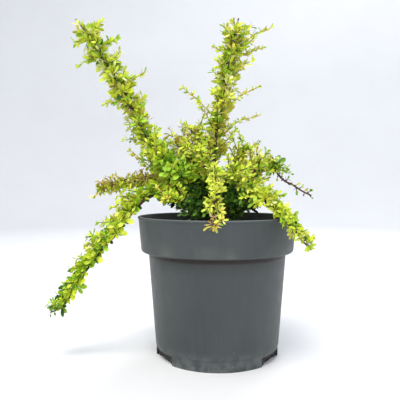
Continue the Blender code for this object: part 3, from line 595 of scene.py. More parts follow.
def smooth_route(route: Route) -> np.ndarray:
    """The route's evenly spaced points, from inside the basal stem to the tip, as the solids have them."""
    first = Vector(route.points[0]) * MM
    outward = Vector((first.x, first.y, 0.0)).normalized()
    root = outward * route.root_radius * MM + UP * (MEDIUM_TOP + route.root_height * MM)
    dense = curve_through(np.vstack([tuple(root), np.array(route.points) * MM]), CURVE_SAMPLES)
    lengths = np.concatenate([[0.0], np.cumsum(np.linalg.norm(np.diff(dense, axis=0), axis=1))])
    count = max(3, round(lengths[-1] / STEM_STEP) + 1)
    even = np.linspace(0.0, lengths[-1], count)
    return np.column_stack([np.interp(even, lengths, dense[:, axis]) for axis in range(3)])


def zigzag(points: np.ndarray, seed: int) -> np.ndarray:
    """The small kinks that a barberry stem has at its nodes, as the solids have them."""
    draw = random.Random(seed)
    kinked = points.copy()
    for index in range(1, len(points) - 1):
        along = Vector(points[index + 1] - points[index - 1]).normalized()
        across = along.orthogonal().normalized()
        angle = index * GOLDEN_ANGLE + draw.uniform(-AROUND_SPREAD, AROUND_SPREAD)
        kinked[index] += np.array(Matrix.Rotation(angle, 3, along) @ across) * ZIGZAG
    return kinked


class Limb:
    """One limb from inside the basal stem to its tip, in fine steps, tapering evenly."""

    FINER = 6

    def __init__(self, route: Route, seed: int) -> None:
        """Works out the limb's line and its radii."""
        self.route = route
        self.points = curve_through(zigzag(smooth_route(route), seed), self.FINER)
        self.radii = np.linspace(route.foot_radius * MM, TIP_RADIUS, len(self.points))
        self.nodes: list[float] = []

    def at(self, share: float) -> tuple[Vector, Vector, float]:
        """The point, the direction and the radius at a share of the limb.

        Args:
            share: 0 at the foot and 1 at the tip.

        Returns:
            Point, direction and radius.
        """
        place = min(max(share, 0.0), 1.0) * (len(self.points) - 1)
        low = min(int(place), len(self.points) - 2)
        rest = place - low
        point = Vector(self.points[low] * (1 - rest) + self.points[low + 1] * rest)
        along = Vector(self.points[low + 1] - self.points[low]).normalized()
        return point, along, float(self.radii[low] * (1 - rest) + self.radii[low + 1] * rest)

    def length(self) -> float:
        """The length along the limb."""
        return float(np.linalg.norm(np.diff(self.points, axis=0), axis=1).sum())


class Gathered:
    """Points and faces of many small shapes, to be joined into one mesh."""

    def __init__(self) -> None:
        """Starts empty."""
        self.points: list[np.ndarray] = []
        self.faces: list[tuple[int, ...]] = []
        self.count = 0

    def add(self, points: np.ndarray, faces: list[tuple[int, ...]]) -> None:
        """Adds one shape.

        Args:
            points: its corners, one to a row.
            faces: its faces, as numbers of its corners.
        """
        self.faces += [tuple(corner + self.count for corner in face) for face in faces]
        self.points.append(points)
        self.count += len(points)

    def make(self, name: str, material: bpy.types.Material) -> bpy.types.Object:
        """Makes the joined object, smooth shaded.

        Args:
            name: the piece's name.
            material: its material.

        Returns:
            The object.
        """
        mesh = bpy.data.meshes.new(name)
        mesh.from_pydata(np.vstack(self.points).tolist(), [], self.faces)
        mesh.materials.append(material)
        mesh.shade_smooth()
        mesh.update()
        made = bpy.data.objects.new(name, mesh)
        bpy.context.scene.collection.objects.link(made)
        return made


def tube(
    points: np.ndarray, radii: np.ndarray, sides: int, relief: np.ndarray | None = None
) -> tuple[np.ndarray, list[tuple[int, ...]]]:
    """A closed tube round a line.

    Args:
        points: the line, one point to a row.
        radii: the radius at each point.
        sides: corners in each ring.
        relief: what each corner's radius is multiplied by, a row to a ring.

    Returns:
        Corners and faces.
    """
    runs = np.gradient(points, axis=0)
    runs /= np.linalg.norm(runs, axis=1)[:, None]
    across = np.zeros_like(runs)
    across[0] = Vector(runs[0]).orthogonal().normalized()
    for index in range(1, len(runs)):
        flat = across[index - 1] - runs[index] * (across[index - 1] @ runs[index])
        across[index] = flat / np.linalg.norm(flat)
    third = np.cross(runs, across)
    turn = np.arange(sides) * 2.0 * math.pi / sides
    spokes = np.cos(turn)[None, :, None] * across[:, None, :] + np.sin(turn)[None, :, None] * third[:, None, :]
    reach = radii[:, None] * (np.ones((len(points), sides)) if relief is None else relief)
    rings = (points[:, None, :] + spokes * reach[..., None]).reshape(-1, 3)
    last = (len(points) - 1) * sides
    faces: list[tuple[int, ...]] = [
        (row + side, row + (side + 1) % sides, row + sides + (side + 1) % sides, row + sides + side)
        for row in range(0, last, sides)
        for side in range(sides)
    ]
    foot, tip = len(rings), len(rings) + 1
    faces += [(foot, (side + 1) % sides, side) for side in range(sides)]
    faces += [(tip, last + side, last + (side + 1) % sides) for side in range(sides)]
    return np.vstack([rings, points[:1], points[-1:]]), faces


def begin() -> None:
    """Leaves edit mode and deselects everything, so that the next operator acts on nothing old."""
    if bpy.context.object and bpy.context.object.mode != "OBJECT":
        bpy.ops.object.mode_set(mode="OBJECT")
    bpy.ops.object.select_all(action="DESELECT")


def pick(test: Any) -> int:
    """Selects only the corners of the mesh in edit mode that pass a test.

    Args:
        test: called with a corner's place, and true where it is wanted.

    Returns:
        How many corners are selected.
    """
    mesh = bmesh.from_edit_mesh(bpy.context.object.data)
    for corner in mesh.verts:
        corner.select = bool(test(corner.co))
    mesh.select_flush_mode()
    mesh.select_flush(True)
    bmesh.update_edit_mesh(bpy.context.object.data)
    return sum(corner.select for corner in mesh.verts)


def turned(name: str, outline: list[tuple[float, float]], segments: int) -> bpy.types.Object:
    """Turns a closed shell about +Z, ring by ring, as by hand: a circle, then extruded, moved and resized.

    Args:
        name: the object's name.
        outline: radius and height of each ring, from the middle of one side round to the middle of the other.
        segments: corners in each ring.

    Returns:
        The object, closed at both middles, with its faces outwards.
    """
    begin()
    radius, height = outline[0]
    bpy.ops.mesh.primitive_circle_add(vertices=segments, radius=radius, location=(0.0, 0.0, height))
    made = bpy.context.object
    made.name = name
    bpy.ops.object.transform_apply(location=True, rotation=False, scale=False)
    bpy.ops.object.mode_set(mode="EDIT")
    bpy.ops.mesh.select_mode(type="VERT")
    bpy.ops.mesh.select_all(action="SELECT")
    for wider, higher in outline[1:]:
        bpy.ops.mesh.extrude_region_move(TRANSFORM_OT_translate={"value": (0.0, 0.0, higher - height)})
        grown = wider / radius
        bpy.ops.transform.resize(value=(grown, grown, 1.0), center_override=(0.0, 0.0, higher))
        radius, height = wider, higher
    bpy.ops.mesh.edge_face_add()
    first_radius, first_height = outline[0]
    nearly = 0.02 * MM
    pick(lambda at: abs(at.z - first_height) < nearly and at.xy.length < first_radius + nearly)
    bpy.ops.mesh.edge_face_add()
    bpy.ops.mesh.select_all(action="SELECT")
    bpy.ops.mesh.normals_make_consistent(inside=False)
    bpy.ops.object.mode_set(mode="OBJECT")
    return made


def dressed(piece: bpy.types.Object, material: bpy.types.Material, nodes: list[str]) -> None:
    """Gives a piece its material and body, hides the CAD nodes that it stands for, and reports it.

    Args:
        piece: the object.
        material: its material.
        nodes: the CAD nodes that it stands for.
    """
    piece.data.materials.clear()
    piece.data.materials.append(material)
    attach(piece, BODY)
    if nodes:
        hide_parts(*nodes)
    piece.data.calc_loop_triangles()
    LOG.info("%s: %d triangles for %s", piece.name, len(piece.data.loop_triangles), ", ".join(nodes) or "detail")


@dataclass
class NurseryPot:
    """The turned pot: lip, collar, body, foot band and raised floor, with drainage notches in its foot."""

    height: float = 164.0 * MM
    rim_radius: float = 95.0 * MM
    lip_height: float = 2.6 * MM
    lip_proud: float = 0.9 * MM
    edge_round: float = 0.6 * MM
    collar_foot_radius: float = 91.0 * MM
    collar_foot_z: float = 122.5 * MM
    collar_round: float = 3.0 * MM
    body_top_radius: float = 82.2 * MM
    foot_radius: float = 73.0 * MM
    foot_band_height: float = 12.0 * MM
    foot_band_set: float = 0.7 * MM
    foot_ring_width: float = 3.5 * MM
    floor_raise: float = 4.0 * MM
    pad_radius: float = 20.0 * MM
    gate_radius: float = 4.0 * MM
    gate_depth: float = 0.5 * MM
    wall: float = 1.8 * MM
    notch_count: int = 3
    notch_first_deg: float = 60.0
    notch_size: tuple[float, float, float] = (10.0 * MM, 43.0 * MM, 20.0 * MM)
    notch_round: float = 2.0 * MM
    inner_ring: tuple[float, float, float] = (65.2 * MM, 67.4 * MM, 0.3 * MM)
    segments: int = 128
    middle: float = 0.4 * MM

    def outline(self) -> list[tuple[float, float]]:
        """Radius and height of each ring, from the floor's middle inside to the pad's middle below."""
        inner_floor = self.floor_raise + self.wall
        pad_outer = self.pad_radius + self.floor_raise
        ring_inner = self.foot_radius - self.foot_ring_width
        inside = [
            (self.middle, self.wall),
            (self.pad_radius, self.wall),
            (pad_outer, inner_floor),
            (self.foot_radius - self.wall, inner_floor),
            (self.body_top_radius - self.wall, self.collar_foot_z),
            (self.collar_foot_radius - self.wall, self.collar_foot_z + self.collar_round + self.wall),
            (self.rim_radius - self.lip_proud - self.wall, self.height),
        ]
        sweep = [math.radians(15.0 * step) for step in range(7)]
        collar_middle = (
            self.collar_foot_radius - self.collar_round,
            self.collar_foot_z + self.collar_round,
        )
        rounded = [
            (
                collar_middle[0] + math.cos(angle) * self.collar_round,
                collar_middle[1] - math.sin(angle) * self.collar_round,
            )
            for angle in sweep
        ]
        outside = [
            (self.rim_radius - self.edge_round, self.height),
            (self.rim_radius, self.height - self.edge_round),
            (self.rim_radius, self.height - self.lip_height),
            (self.rim_radius - self.lip_proud, self.height - self.lip_height - self.edge_round),
            *rounded,
            (self.body_top_radius, self.collar_foot_z - 2 * self.edge_round),
            (self.foot_radius + self.foot_band_set, self.foot_band_height + self.edge_round),
            (self.foot_radius, self.foot_band_height),
            (self.foot_radius, 0.0),
            (ring_inner, 0.0),
            (ring_inner - self.edge_round, self.floor_raise),
            (self.inner_ring[1], self.floor_raise),
            (self.inner_ring[1], self.inner_ring[2]),
            (self.inner_ring[0], self.inner_ring[2]),
            (self.inner_ring[0] - self.edge_round, self.floor_raise),
            (pad_outer - self.edge_round, self.floor_raise),
            (self.pad_radius, 0.0),
            (self.gate_radius, 0.0),
            (self.gate_radius - self.gate_depth, self.gate_depth),
            (self.middle, self.gate_depth),
        ]
        return inside + outside

    def notch_cutter(self, index: int) -> bpy.types.Object:
        """The rounded block that cuts one drainage notch.

        Args:
            index: the notch's number, counted round from the front.

        Returns:
            The cutter.
        """
        begin()
        angle = math.radians(self.notch_first_deg + index * 360.0 / self.notch_count - 90.0)
        out = (math.cos(angle) * self.foot_radius, math.sin(angle) * self.foot_radius, 0.0)
        bpy.ops.mesh.primitive_cube_add(size=1.0, location=out, rotation=(0.0, 0.0, angle), scale=self.notch_size)
        cutter = bpy.context.object
        bpy.ops.object.transform_apply(location=True, rotation=True, scale=True)
        radial = Vector((math.cos(angle), math.sin(angle), 0.0))
        bpy.ops.object.mode_set(mode="EDIT")
        bpy.ops.mesh.select_mode(type="EDGE")
        mesh = bmesh.from_edit_mesh(cutter.data)
        for edge in mesh.edges:
            run = edge.verts[0].co - edge.verts[1].co
            edge.select = abs(run.dot(radial)) > 0.5 * self.notch_size[0]
        bmesh.update_edit_mesh(cutter.data)
        bpy.ops.mesh.bevel(offset=self.notch_round, segments=4, affect="EDGES")
        bpy.ops.object.mode_set(mode="OBJECT")
        return cutter

    def build(self, material: bpy.types.Material) -> None:
        """Models the pot and dresses it."""
        pot = turned("nursery_pot", self.outline(), self.segments)
        soften = pot.modifiers.new("edges", "BEVEL")
        soften.width = 0.35 * MM
        soften.segments = 2
        soften.limit_method = "ANGLE"
        soften.angle_limit = math.radians(32.0)
        bpy.context.view_layer.objects.active = pot
        bpy.ops.object.modifier_apply(modifier="edges")
        for index in range(self.notch_count):
            cutter = self.notch_cutter(index)
            cut = pot.modifiers.new("notch", "BOOLEAN")
            cut.operation = "DIFFERENCE"
            cut.object = cutter
            bpy.context.view_layer.objects.active = pot
            bpy.ops.object.modifier_apply(modifier="notch")
            bpy.data.objects.remove(cutter, do_unlink=True)
        begin()
        pot.select_set(True)
        bpy.context.view_layer.objects.active = pot
        bpy.ops.object.shade_smooth_by_angle(angle=math.radians(30.0))
        dressed(pot, material, ["pot"])

    def inner_radius(self, height: float) -> float:
        """The radius of the pot's inside at this height."""
        if height > self.collar_foot_z + self.collar_round + self.wall:
            low, high = self.collar_foot_radius, self.rim_radius - self.lip_proud
            share = (height - self.collar_foot_z) / (self.height - self.collar_foot_z)
        else:
            low, high = self.foot_radius, self.body_top_radius
            share = height / self.collar_foot_z
        return low + (high - low) * share - self.wall


@dataclass
class CompostBed:
    """The moist bark compost that fills the pot, with loose chips on top."""

    pot: NurseryPot
    ring_step: float = 2.2 * MM
    clear: float = 0.6 * MM
    roughness: float = 1.6 * MM
    chips: int = 620
    chip_size: tuple[float, float] = (2.5, 8.5)
    segments: int = 120
    stock_clear: float = 13.0 * MM

    def surface(self, x: float, y: float) -> float:
        """The height of the compost's lumpy surface at a place."""
        radius = math.hypot(x, y)
        lumps = noise.noise(Vector((x, y, 0.0)) / (9.0 * MM)) + 0.5 * noise.noise(Vector((x, y, 1.0)) / (3.5 * MM))
        fall = 2.0 * MM * max(0.0, radius - 45.0 * MM) / (42.0 * MM)
        return MEDIUM_TOP - 1.2 * MM - fall + self.roughness * lumps

    def bed(self, material: bpy.types.Material) -> None:
        """Models the bed: a turned block whose top is raised into lumps."""
        edge = self.pot.inner_radius(MEDIUM_TOP) - self.clear
        rings = [(0.5 * MM, MEDIUM_TOP)]
        rings += [(radius, MEDIUM_TOP) for radius in np.arange(self.ring_step, edge, self.ring_step)]
        pot = self.pot
        clear = pot.wall + self.clear
        floor = pot.floor_raise + pot.wall + 0.5 * self.clear
        rings += [(edge, MEDIUM_TOP)]
        rings += [(pot.collar_foot_radius - clear, pot.collar_foot_z + pot.collar_round + pot.wall + self.clear)]
        rings += [(pot.body_top_radius - clear, pot.collar_foot_z), (pot.foot_radius - clear, floor), (0.5 * MM, floor)]
        made = turned("compost_bed", rings, self.segments)
        for corner in made.data.vertices:
            if corner.co.z > MEDIUM_TOP - 0.1 * MM:
                corner.co.z = self.surface(corner.co.x, corner.co.y)
        made.data.shade_smooth()
        dressed(made, material, ["growing_medium"])

    def chip(self) -> tuple[np.ndarray, list[tuple[int, ...]]]:
        """One angular bark chip, modelled at unit length, to be copied.

        Returns:
            Corners and faces.
        """
        begin()
        bpy.ops.mesh.primitive_cube_add(size=1.0, scale=(1.0, 0.6, 0.28))
        made = bpy.context.object
        bpy.ops.object.transform_apply(location=False, rotation=False, scale=True)
        bpy.ops.object.mode_set(mode="EDIT")
        bpy.ops.mesh.subdivide(number_cuts=1)
        pick(lambda at: at.x > 0.4)
        bpy.ops.transform.resize(value=(1.0, 0.55, 0.6), center_override=(0.5, 0.0, 0.0))
        pick(lambda at: at.x < -0.4)
        bpy.ops.transform.resize(value=(1.0, 0.75, 0.5), center_override=(-0.5, 0.0, 0.05))
        bpy.ops.object.mode_set(mode="OBJECT")
        points = np.array([corner.co[:] for corner in made.data.vertices])
        points += 0.07 * np.sin(points[:, [1, 2, 0]] * 17.0 + 0.6)
        faces = [tuple(face.vertices) for face in made.data.polygons]
        bpy.data.objects.remove(made, do_unlink=True)
        return points, faces

    def scatter(self, dark: bpy.types.Material, pale: bpy.types.Material) -> None:
        """Lays chips over the bed, most of them dark."""
        draw = random.Random(3)
        points, faces = self.chip()
        heaps = {"compost_chips_dark": Gathered(), "compost_chips_pale": Gathered()}
        reach = self.pot.inner_radius(MEDIUM_TOP) - 5.0 * MM
        for _ in range(self.chips):
            radius = math.sqrt(draw.uniform(self.stock_clear**2, reach**2))
            angle = draw.uniform(0.0, 2.0 * math.pi)
            x, y = radius * math.cos(angle), radius * math.sin(angle)
            size = draw.triangular(*self.chip_size, self.chip_size[0]) * MM
            turn = Matrix.Rotation(draw.uniform(0.0, 2.0 * math.pi), 3, "Z")
            tilt = Matrix.Rotation(draw.gauss(0.0, 0.35), 3, "X") @ Matrix.Rotation(draw.gauss(0.0, 0.35), 3, "Y")
            place = np.array(turn @ tilt)
            heap = "compost_chips_pale" if draw.random() < 0.22 else "compost_chips_dark"
            lift = self.surface(x, y) + 0.1 * size
            heaps[heap].add(points @ place.T * size + np.array([x, y, lift]), faces)
        for (name, heap), material in zip(heaps.items(), (dark, pale)):
            made = heap.make(name, material)
            for face in made.data.polygons:
                face.use_smooth = False
            dressed(made, material, [])


class Space:
    """What leaves and twigs keep clear of: the pot, the compost and the limbs."""

    POT_CLEARANCE = 1.2 * MM
    LIMB_CLEARANCE = 0.5 * MM

    def __init__(self, limbs: list[Limb], pot: NurseryPot) -> None:
        """Gathers every limb's short stretches into arrays."""
        self.pot = pot
        self.starts = np.vstack([limb.points[:-1] for limb in limbs])
        self.runs = np.vstack([np.diff(limb.points, axis=0) for limb in limbs])
        self.squares = (self.runs**2).sum(1)
        self.radii = np.concatenate([limb.radii[:-1] for limb in limbs])

    @staticmethod
    def within_reach(point: Vector | np.ndarray, overhang: tuple[float, float, float]) -> bool:
        """True if the point lies in the box of the solids, widened by an overhang along each axis.

        Args:
            point: the point.
            overhang: how far past the box it may lie, along X, Y and Z.

        Returns:
            Whether it lies inside.
        """
        low, high = np.array(CAD_BOUNDS[0]), np.array(CAD_BOUNDS[1])
        place = np.array(point)
        return bool((place > low - overhang).all() and (place < high + overhang).all())

    def clear_of_limbs(self, points: np.ndarray) -> bool:
        """True if no point is in, or touches, a limb."""
        away = points[:, None, :] - self.starts[None, :, :]
        share = np.clip((away * self.runs).sum(2) / self.squares, 0.0, 1.0)
        gap = np.linalg.norm(away - share[..., None] * self.runs, axis=2) - self.radii
        return bool(gap.min() > self.LIMB_CLEARANCE)

    def clear_of_pot(self, points: np.ndarray) -> bool:
        """True if no point is in the pot's wall or the compost, or below the floor's level."""
        pot, clear = self.pot, self.POT_CLEARANCE
        for x, y, z in points:
            radius = math.hypot(x, y)
            if z > pot.height + clear:
                continue
            outside = radius > pot.rim_radius + clear and z > clear
            inside = radius < pot.inner_radius(max(z, MEDIUM_TOP)) - clear and z > MEDIUM_TOP + clear
            if not outside and not inside:
                return False
        return True


@dataclass(frozen=True)
class LeafPattern:
    """One barberry leaf, modelled at unit length along +Y and copied by arrays.

    It is obovate: a narrow wedge from the stalk, widest past the middle, with a rounded end. rows gives the
    share of the length and of half the width at each cross row.
    """

    rows: tuple[tuple[float, float], ...] = (
        (0.0, 0.08), (0.10, 0.13), (0.24, 0.38), (0.40, 0.72), (0.55, 0.95), (0.68, 1.0), (0.83, 0.79), (0.94, 0.42),
    )
    fold: float = 0.20
    tip: float = 0.05

    def model(self) -> tuple[np.ndarray, np.ndarray]:
        """Models the leaf, row by row.

        Returns:
            Corners, with a width of one, and faces.
        """
        begin()
        last = len(self.rows) - 1
        bpy.ops.mesh.primitive_grid_add(x_subdivisions=2, y_subdivisions=last, size=1.0, location=(0.0, 0.5, 0.0))
        made = bpy.context.object
        bpy.ops.object.transform_apply(location=True, rotation=False, scale=False)
        bpy.ops.object.mode_set(mode="EDIT")
        bpy.ops.mesh.select_mode(type="VERT")
        rows = sorted({round(corner.co.y, 4) for corner in bmesh.from_edit_mesh(made.data).verts})
        places = list(zip(rows, self.rows))
        for old, (share, width) in places:
            pick(lambda at, old=old: abs(at.y - old) < 1e-3 and at.z < 0.5)
            bpy.ops.transform.resize(value=(width, 1.0, 1.0), center_override=(0.0, old, 0.0))
            bpy.ops.transform.translate(value=(0.0, share - old, 1.0))
        bpy.ops.mesh.select_all(action="SELECT")
        bpy.ops.transform.translate(value=(0.0, 0.0, -1.0))
        pick(lambda at: abs(at.x) < 1e-4)
        bpy.ops.transform.translate(value=(0.0, 0.0, -0.5 * self.fold))
        pick(lambda at: abs(at.x) < 1e-4 and at.y > self.rows[-1][0] - 1e-3)
        bpy.ops.transform.translate(value=(0.0, self.tip, 0.25 * self.fold))
        bpy.ops.object.mode_set(mode="OBJECT")
        points = np.array([corner.co[:] for corner in made.data.vertices])
        faces = np.array([tuple(face.vertices) for face in made.data.polygons])
        bpy.data.objects.remove(made, do_unlink=True)
        return points, faces


class Foliage:
    """Grows leaves, spurs, thorns and thin shoots on the limbs."""

    SPUR_LENGTH = 3.0 * MM
    INNERMOST_TILT = 12.0
    LEAF_ROLL = 28.0
    TRIES = 6
    # The zone low inside where tufts are dealt deep green as painted shade.
    SHADE_HEIGHT = 205.0 * MM
    SHADE_RADIUS = 40.0 * MM
    SHADE_SHARE = 0.94
    INNER_LEAVES = 3
    INNER_SIZE = 0.6
    THORN_LENGTH = (6.0, 12.0)
    TWIG_TILT = math.radians(46.0)
    TWIG_SPACING = 4.0 * MM
    TWIG_SIZE = 0.85
    WILD_LENGTH = (16.0, 32.0)
    WILD_END = 0.88
    OWN_TONE = 0.62
    OVERHANG = (2.5 * MM, 2.5 * MM, -4.0 * MM)
    WILD_OVERHANG = (-6.0 * MM, -6.0 * MM, -12.0 * MM)

    def __init__(self, limbs: list[Limb], space: Space) -> None:
        """Starts with no leaf."""
        self.limbs = limbs
        self.space = space
        self.leaves: dict[Tone, list[tuple[np.ndarray, ...]]] = {tone: [] for tone in Tone}
        self.spurs = Gathered()
        self.young = Gathered()
        self.thorns = Gathered()
        self.buds = Gathered()
        self.random = random.Random(0)

    def choose(self, tones: Tones) -> Tone:
        """Deals a colour by its weight."""
        return self.random.choices([tone for tone, _ in tones], [weight for _, weight in tones])[0]

    def near_tone(self, tone: Tone) -> Tone:
        """A leaf's own colour: now and then the next lighter or darker one of its tuft's."""
        family = {
            Tone.PALE: (Tone.LIME, Tone.LIGHT, Tone.OLIVE),
            Tone.LIGHT: (Tone.LIME,), Tone.LIME: (Tone.LIGHT, Tone.FRESH, Tone.OLIVE),
            Tone.OLIVE: (Tone.LIME, Tone.GOLD), Tone.FRESH: (Tone.LIME, Tone.GREEN),
            Tone.GREEN: (Tone.FRESH, Tone.DEEP), Tone.DEEP: (Tone.GREEN,), Tone.YELLOW: (Tone.LIGHT, Tone.GOLD),
            Tone.GOLD: (Tone.OLIVE, Tone.YELLOW), Tone.BRONZE: (Tone.GOLD, Tone.PINK), Tone.PINK: (Tone.GOLD,),
        }
        return tone if self.random.random() < self.OWN_TONE else self.random.choice(family[tone])

    def place_tone(self, spot: Vector, share: float, dress: Dress) -> Tone:
        """Deals a tuft's colour by its place: deep green as painted shade low inside, elsewhere from the palette of its
        share.
        """
        ceiling = self.SHADE_HEIGHT - max(0.0, math.hypot(spot.x, spot.y) - self.SHADE_RADIUS)
        if spot.z < ceiling and self.random.random() < self.SHADE_SHARE:
            return self.choose(SHADE)
        return self.choose([tones for start, tones in dress.bands if share >= start][-1])

    def add_leaf(self, root: Vector, direction: Vector, upper: Vector, size: float, narrow: float, tone: Tone) -> bool:
        """Adds a leaf if its space is free.

        Args:
            root: where its stalk starts.
            direction: which way it points.
            upper: which way its face looks.
            size: its length.
            narrow: its width as a share of its length.
            tone: its colour.

        Returns:
            Whether there was room.
        """
        roll = math.radians(self.random.uniform(-1.0, 1.0) * self.LEAF_ROLL)
        length_axis = direction.normalized()
        width_axis = length_axis.cross(Matrix.Rotation(roll, 3, length_axis) @ upper).normalized()
        face_axis = width_axis.cross(length_axis)
        tested = np.array([tuple(root + length_axis * size * share) for share in (0.45, 0.75, 1.0)])
        free = self.space.within_reach(tested[-1], self.OVERHANG)
        if not free or not self.space.clear_of_pot(tested) or not self.space.clear_of_limbs(tested):
            return False
        width = size * narrow * self.random.uniform(0.85, 1.15)
        bend = self.random.uniform(-0.22, 0.06)
        fold = self.random.uniform(0.4, 1.5)
        axes = np.array([width_axis, length_axis, face_axis])
        self.leaves[tone].append((np.array(root), axes, np.array([width, size, bend, fold])))
        return True

    def rosette(self, root: Vector, axis: Vector, side: Vector, count: int, dress: Dress, tone: Tone,
                scale: float = 1.0) -> None:
        """Adds a tuft's leaves round the end of its spur, the larger ones lower and further out.

        Args:
            root: the spur's end.
            axis: which way the spur points.
            side: a direction across it, where the first leaf stands.
            count: how many leaves.
            dress: the limb's sizes.
            tone: the tuft's colour.
            scale: what the sizes are multiplied by.
        """
        small, large = dress.leaf
        for index in range(count):
            rank = index / max(1, count - 1)
            opened = self.INNERMOST_TILT + (dress.spread - self.INNERMOST_TILT) * (1.0 - 0.85 * rank)
            for _ in range(self.TRIES):
                tilt = math.radians(opened) + self.random.uniform(-0.2, 0.2)
                turn = index * GOLDEN_ANGLE + self.random.uniform(-0.5, 0.5)
                out = Matrix.Rotation(turn, 3, axis) @ side
                direction = axis * math.cos(tilt) + out * math.sin(tilt)
                upper = axis * math.sin(tilt) - out * math.cos(tilt)
                size = (large - (large - small) * rank * self.random.uniform(0.6, 1.0)) * scale * MM
                size *= self.random.uniform(0.82, 1.08)
                if self.add_leaf(root, direction, upper, size, dress.narrow, self.near_tone(tone)):
                    break

    @staticmethod
    def radial(along: Vector, around: float, dress: Dress) -> Vector:
        """The direction straight out of a limb at an angle round it, turned to the side that it keeps to."""
        out = Matrix.Rotation(around, 3, along) @ along.orthogonal().normalized()
        if dress.face:
            wanted = Vector(dress.face).normalized()
            if out.dot(wanted) < 0.0:
                out += wanted * 1.3
            out = (out - along * out.dot(along)).normalized()
        return out

    def tuft(self, limb: Limb, share: float, around: float, dress: Dress, thorny: bool = True) -> None:
        """Adds one node's tuft: its spur, its thorn, its leaves and the small ones close to the limb, darker as painted
        shade.
        """
        spot, along, radius = limb.at(share)
        radial = self.radial(along, around, dress)
        slant = math.radians(dress.slant)
        axis = (radial * math.cos(slant) + along * math.sin(slant) + UP * dress.lift).normalized()
        side = axis.cross(along).normalized()
        root = spot + radial * radius * 0.6
        end = root + axis * self.SPUR_LENGTH
        self.spurs.add(*tube(np.array([root, end]), np.array([0.9, 0.65]) * MM, 5))
        tone = self.place_tone(end, share, dress)
        vigour = self.random.uniform(0.72, 1.12) * (1.0 + (dress.tip_size - 1.0) * share**2)
        self.rosette(end, axis, side, self.random.randint(*dress.leaves), dress, tone, vigour)
        if dress.leaves[0] >= self.INNER_LEAVES:
            inner = root + radial * 0.8 * MM
            self.rosette(inner, radial, side, self.INNER_LEAVES, dress, self.choose(INSIDE), self.INNER_SIZE)
        if thorny:
            self.thorn(root, (axis - along * 0.9 - UP * dress.lift * 0.5).normalized())

    def thorn(self, root: Vector, direction: Vector) -> None:
        """Adds the single sharp thorn that stands under a tuft."""
        length = self.random.uniform(*self.THORN_LENGTH) * MM
        tip = root + direction * length
        line = np.array([root, root + (tip - root) * 0.4, tip])
        if self.space.clear_of_pot(line[1:]):
            self.thorns.add(*tube(line, np.array([0.5, 0.3, 0.03]) * MM, 4))

    def bud(self, middle: Vector, along: Vector, size: float) -> None:
        """Adds a pointed oval bud."""
        steps = np.linspace(-1.0, 1.0, 6)
        line = np.array([middle + along * float(step) * size for step in steps])
        girth = np.array([0.15, 0.75, 0.95, 0.8, 0.45, 0.05]) * size * 0.62
        self.buds.add(*tube(line, girth, 6))

    def thin_shoot(self, limb: Limb, shoot: Shoot, dress: Dress) -> None:
        """Adds a side shoot with small leaves along it.

        Args:
            limb: the limb that it leaves.
            shoot: its place and size.
            dress: the limb's clothing.
        """
        root, _, _ = limb.at(shoot.share)
        tip = Vector(shoot.tip) * MM
        run = tip - root
        middle = root + run * 0.5 + UP * run.length * shoot.bulge
        line = curve_through(np.array([root, middle, tip]), 5)
        if not self.space.clear_of_pot(line[2:]):
            return
        radii = np.linspace(0.72, 0.36, len(line)) * MM
        (self.young if shoot.pale else self.spurs).add(*tube(line, radii, 5))
        own = replace(dress, leaf=(0.5 * shoot.leaf, shoot.leaf), spread=min(dress.spread, 50.0))
        if shoot.pale:
            own = replace(own, leaf=(0.7 * shoot.leaf, shoot.leaf), narrow=0.42, spread=46.0)
        count = max(2, round(run.length / self.TWIG_SPACING))
        turn = self.random.uniform(0.0, 2.0 * math.pi)
        for index in range(count):
            reach = (index + 0.9) / count
            place = min(reach, 1.0) * (len(line) - 1)
            low = min(int(place), len(line) - 2)
            spot = Vector(line[low] + (line[low + 1] - line[low]) * (place - low))
            along = Vector(line[low + 1] - line[low]).normalized()
            radial = Matrix.Rotation(turn + index * GOLDEN_ANGLE, 3, along) @ along.orthogonal().normalized()
            last = index == count - 1
            axis = along if last else (radial * 0.7 + along * 0.8 + UP * dress.lift).normalized()
            side = axis.orthogonal().normalized()
            leaves = self.random.randint(2, 4) + last if shoot.pale else self.random.randint(3, 5)
            tone = self.place_tone(spot, shoot.share, dress)
            self.rosette(spot, axis, side, leaves, own, tone, 1.0 - 0.35 * reach)

    def side_twig(self, limb: Limb, share: float, around: float, dress: Dress) -> None:
        """Adds a short leafy twig that leaves the limb at a slant."""
        spot, along, _ = limb.at(share)
        radial = self.radial(along, around, dress)
        direction = along * math.cos(self.TWIG_TILT) + radial * math.sin(self.TWIG_TILT) + UP * 0.25
        tip = spot / MM + direction.normalized() * dress.twig * self.random.uniform(0.45, 1.25)
        self.thin_shoot(limb, Shoot(share, tuple(tip), dress.leaf[1] * self.TWIG_SIZE, 0.03, False), dress)

    def wild_shoot(self, limb: Limb, dress: Dress) -> None:
        """Adds a thin young shoot that grows out and up from the outer half of the limb."""
        share = self.random.uniform(0.35, self.WILD_END if dress.sparse_from > 1.0 else dress.sparse_from)
        spot, along, _ = limb.at(share)
        outward = Vector((spot.x, spot.y, 0.0)).normalized()
        stray = Vector([self.random.uniform(-1.0, 1.0) for _ in range(3)])
        direction = (along + 0.5 * outward + 0.7 * UP + 0.9 * stray).normalized()
        tip = spot / MM + direction * self.random.uniform(*self.WILD_LENGTH)
        leaf, bulge = self.random.uniform(7.0, 10.5), self.random.uniform(-0.04, 0.10)
        if self.space.within_reach(tip * MM, self.WILD_OVERHANG):
            self.thin_shoot(limb, Shoot(share, tuple(tip), leaf, bulge), dress)

    @staticmethod
    def sparse(dress: Dress) -> Dress:
        """The clothing of a nearly bare end: one to four small leaves at a node."""
        return replace(dress, leaf=(3.5, 7.5), leaves=(1, 4), twig=0.0, sparse_from=2.0)

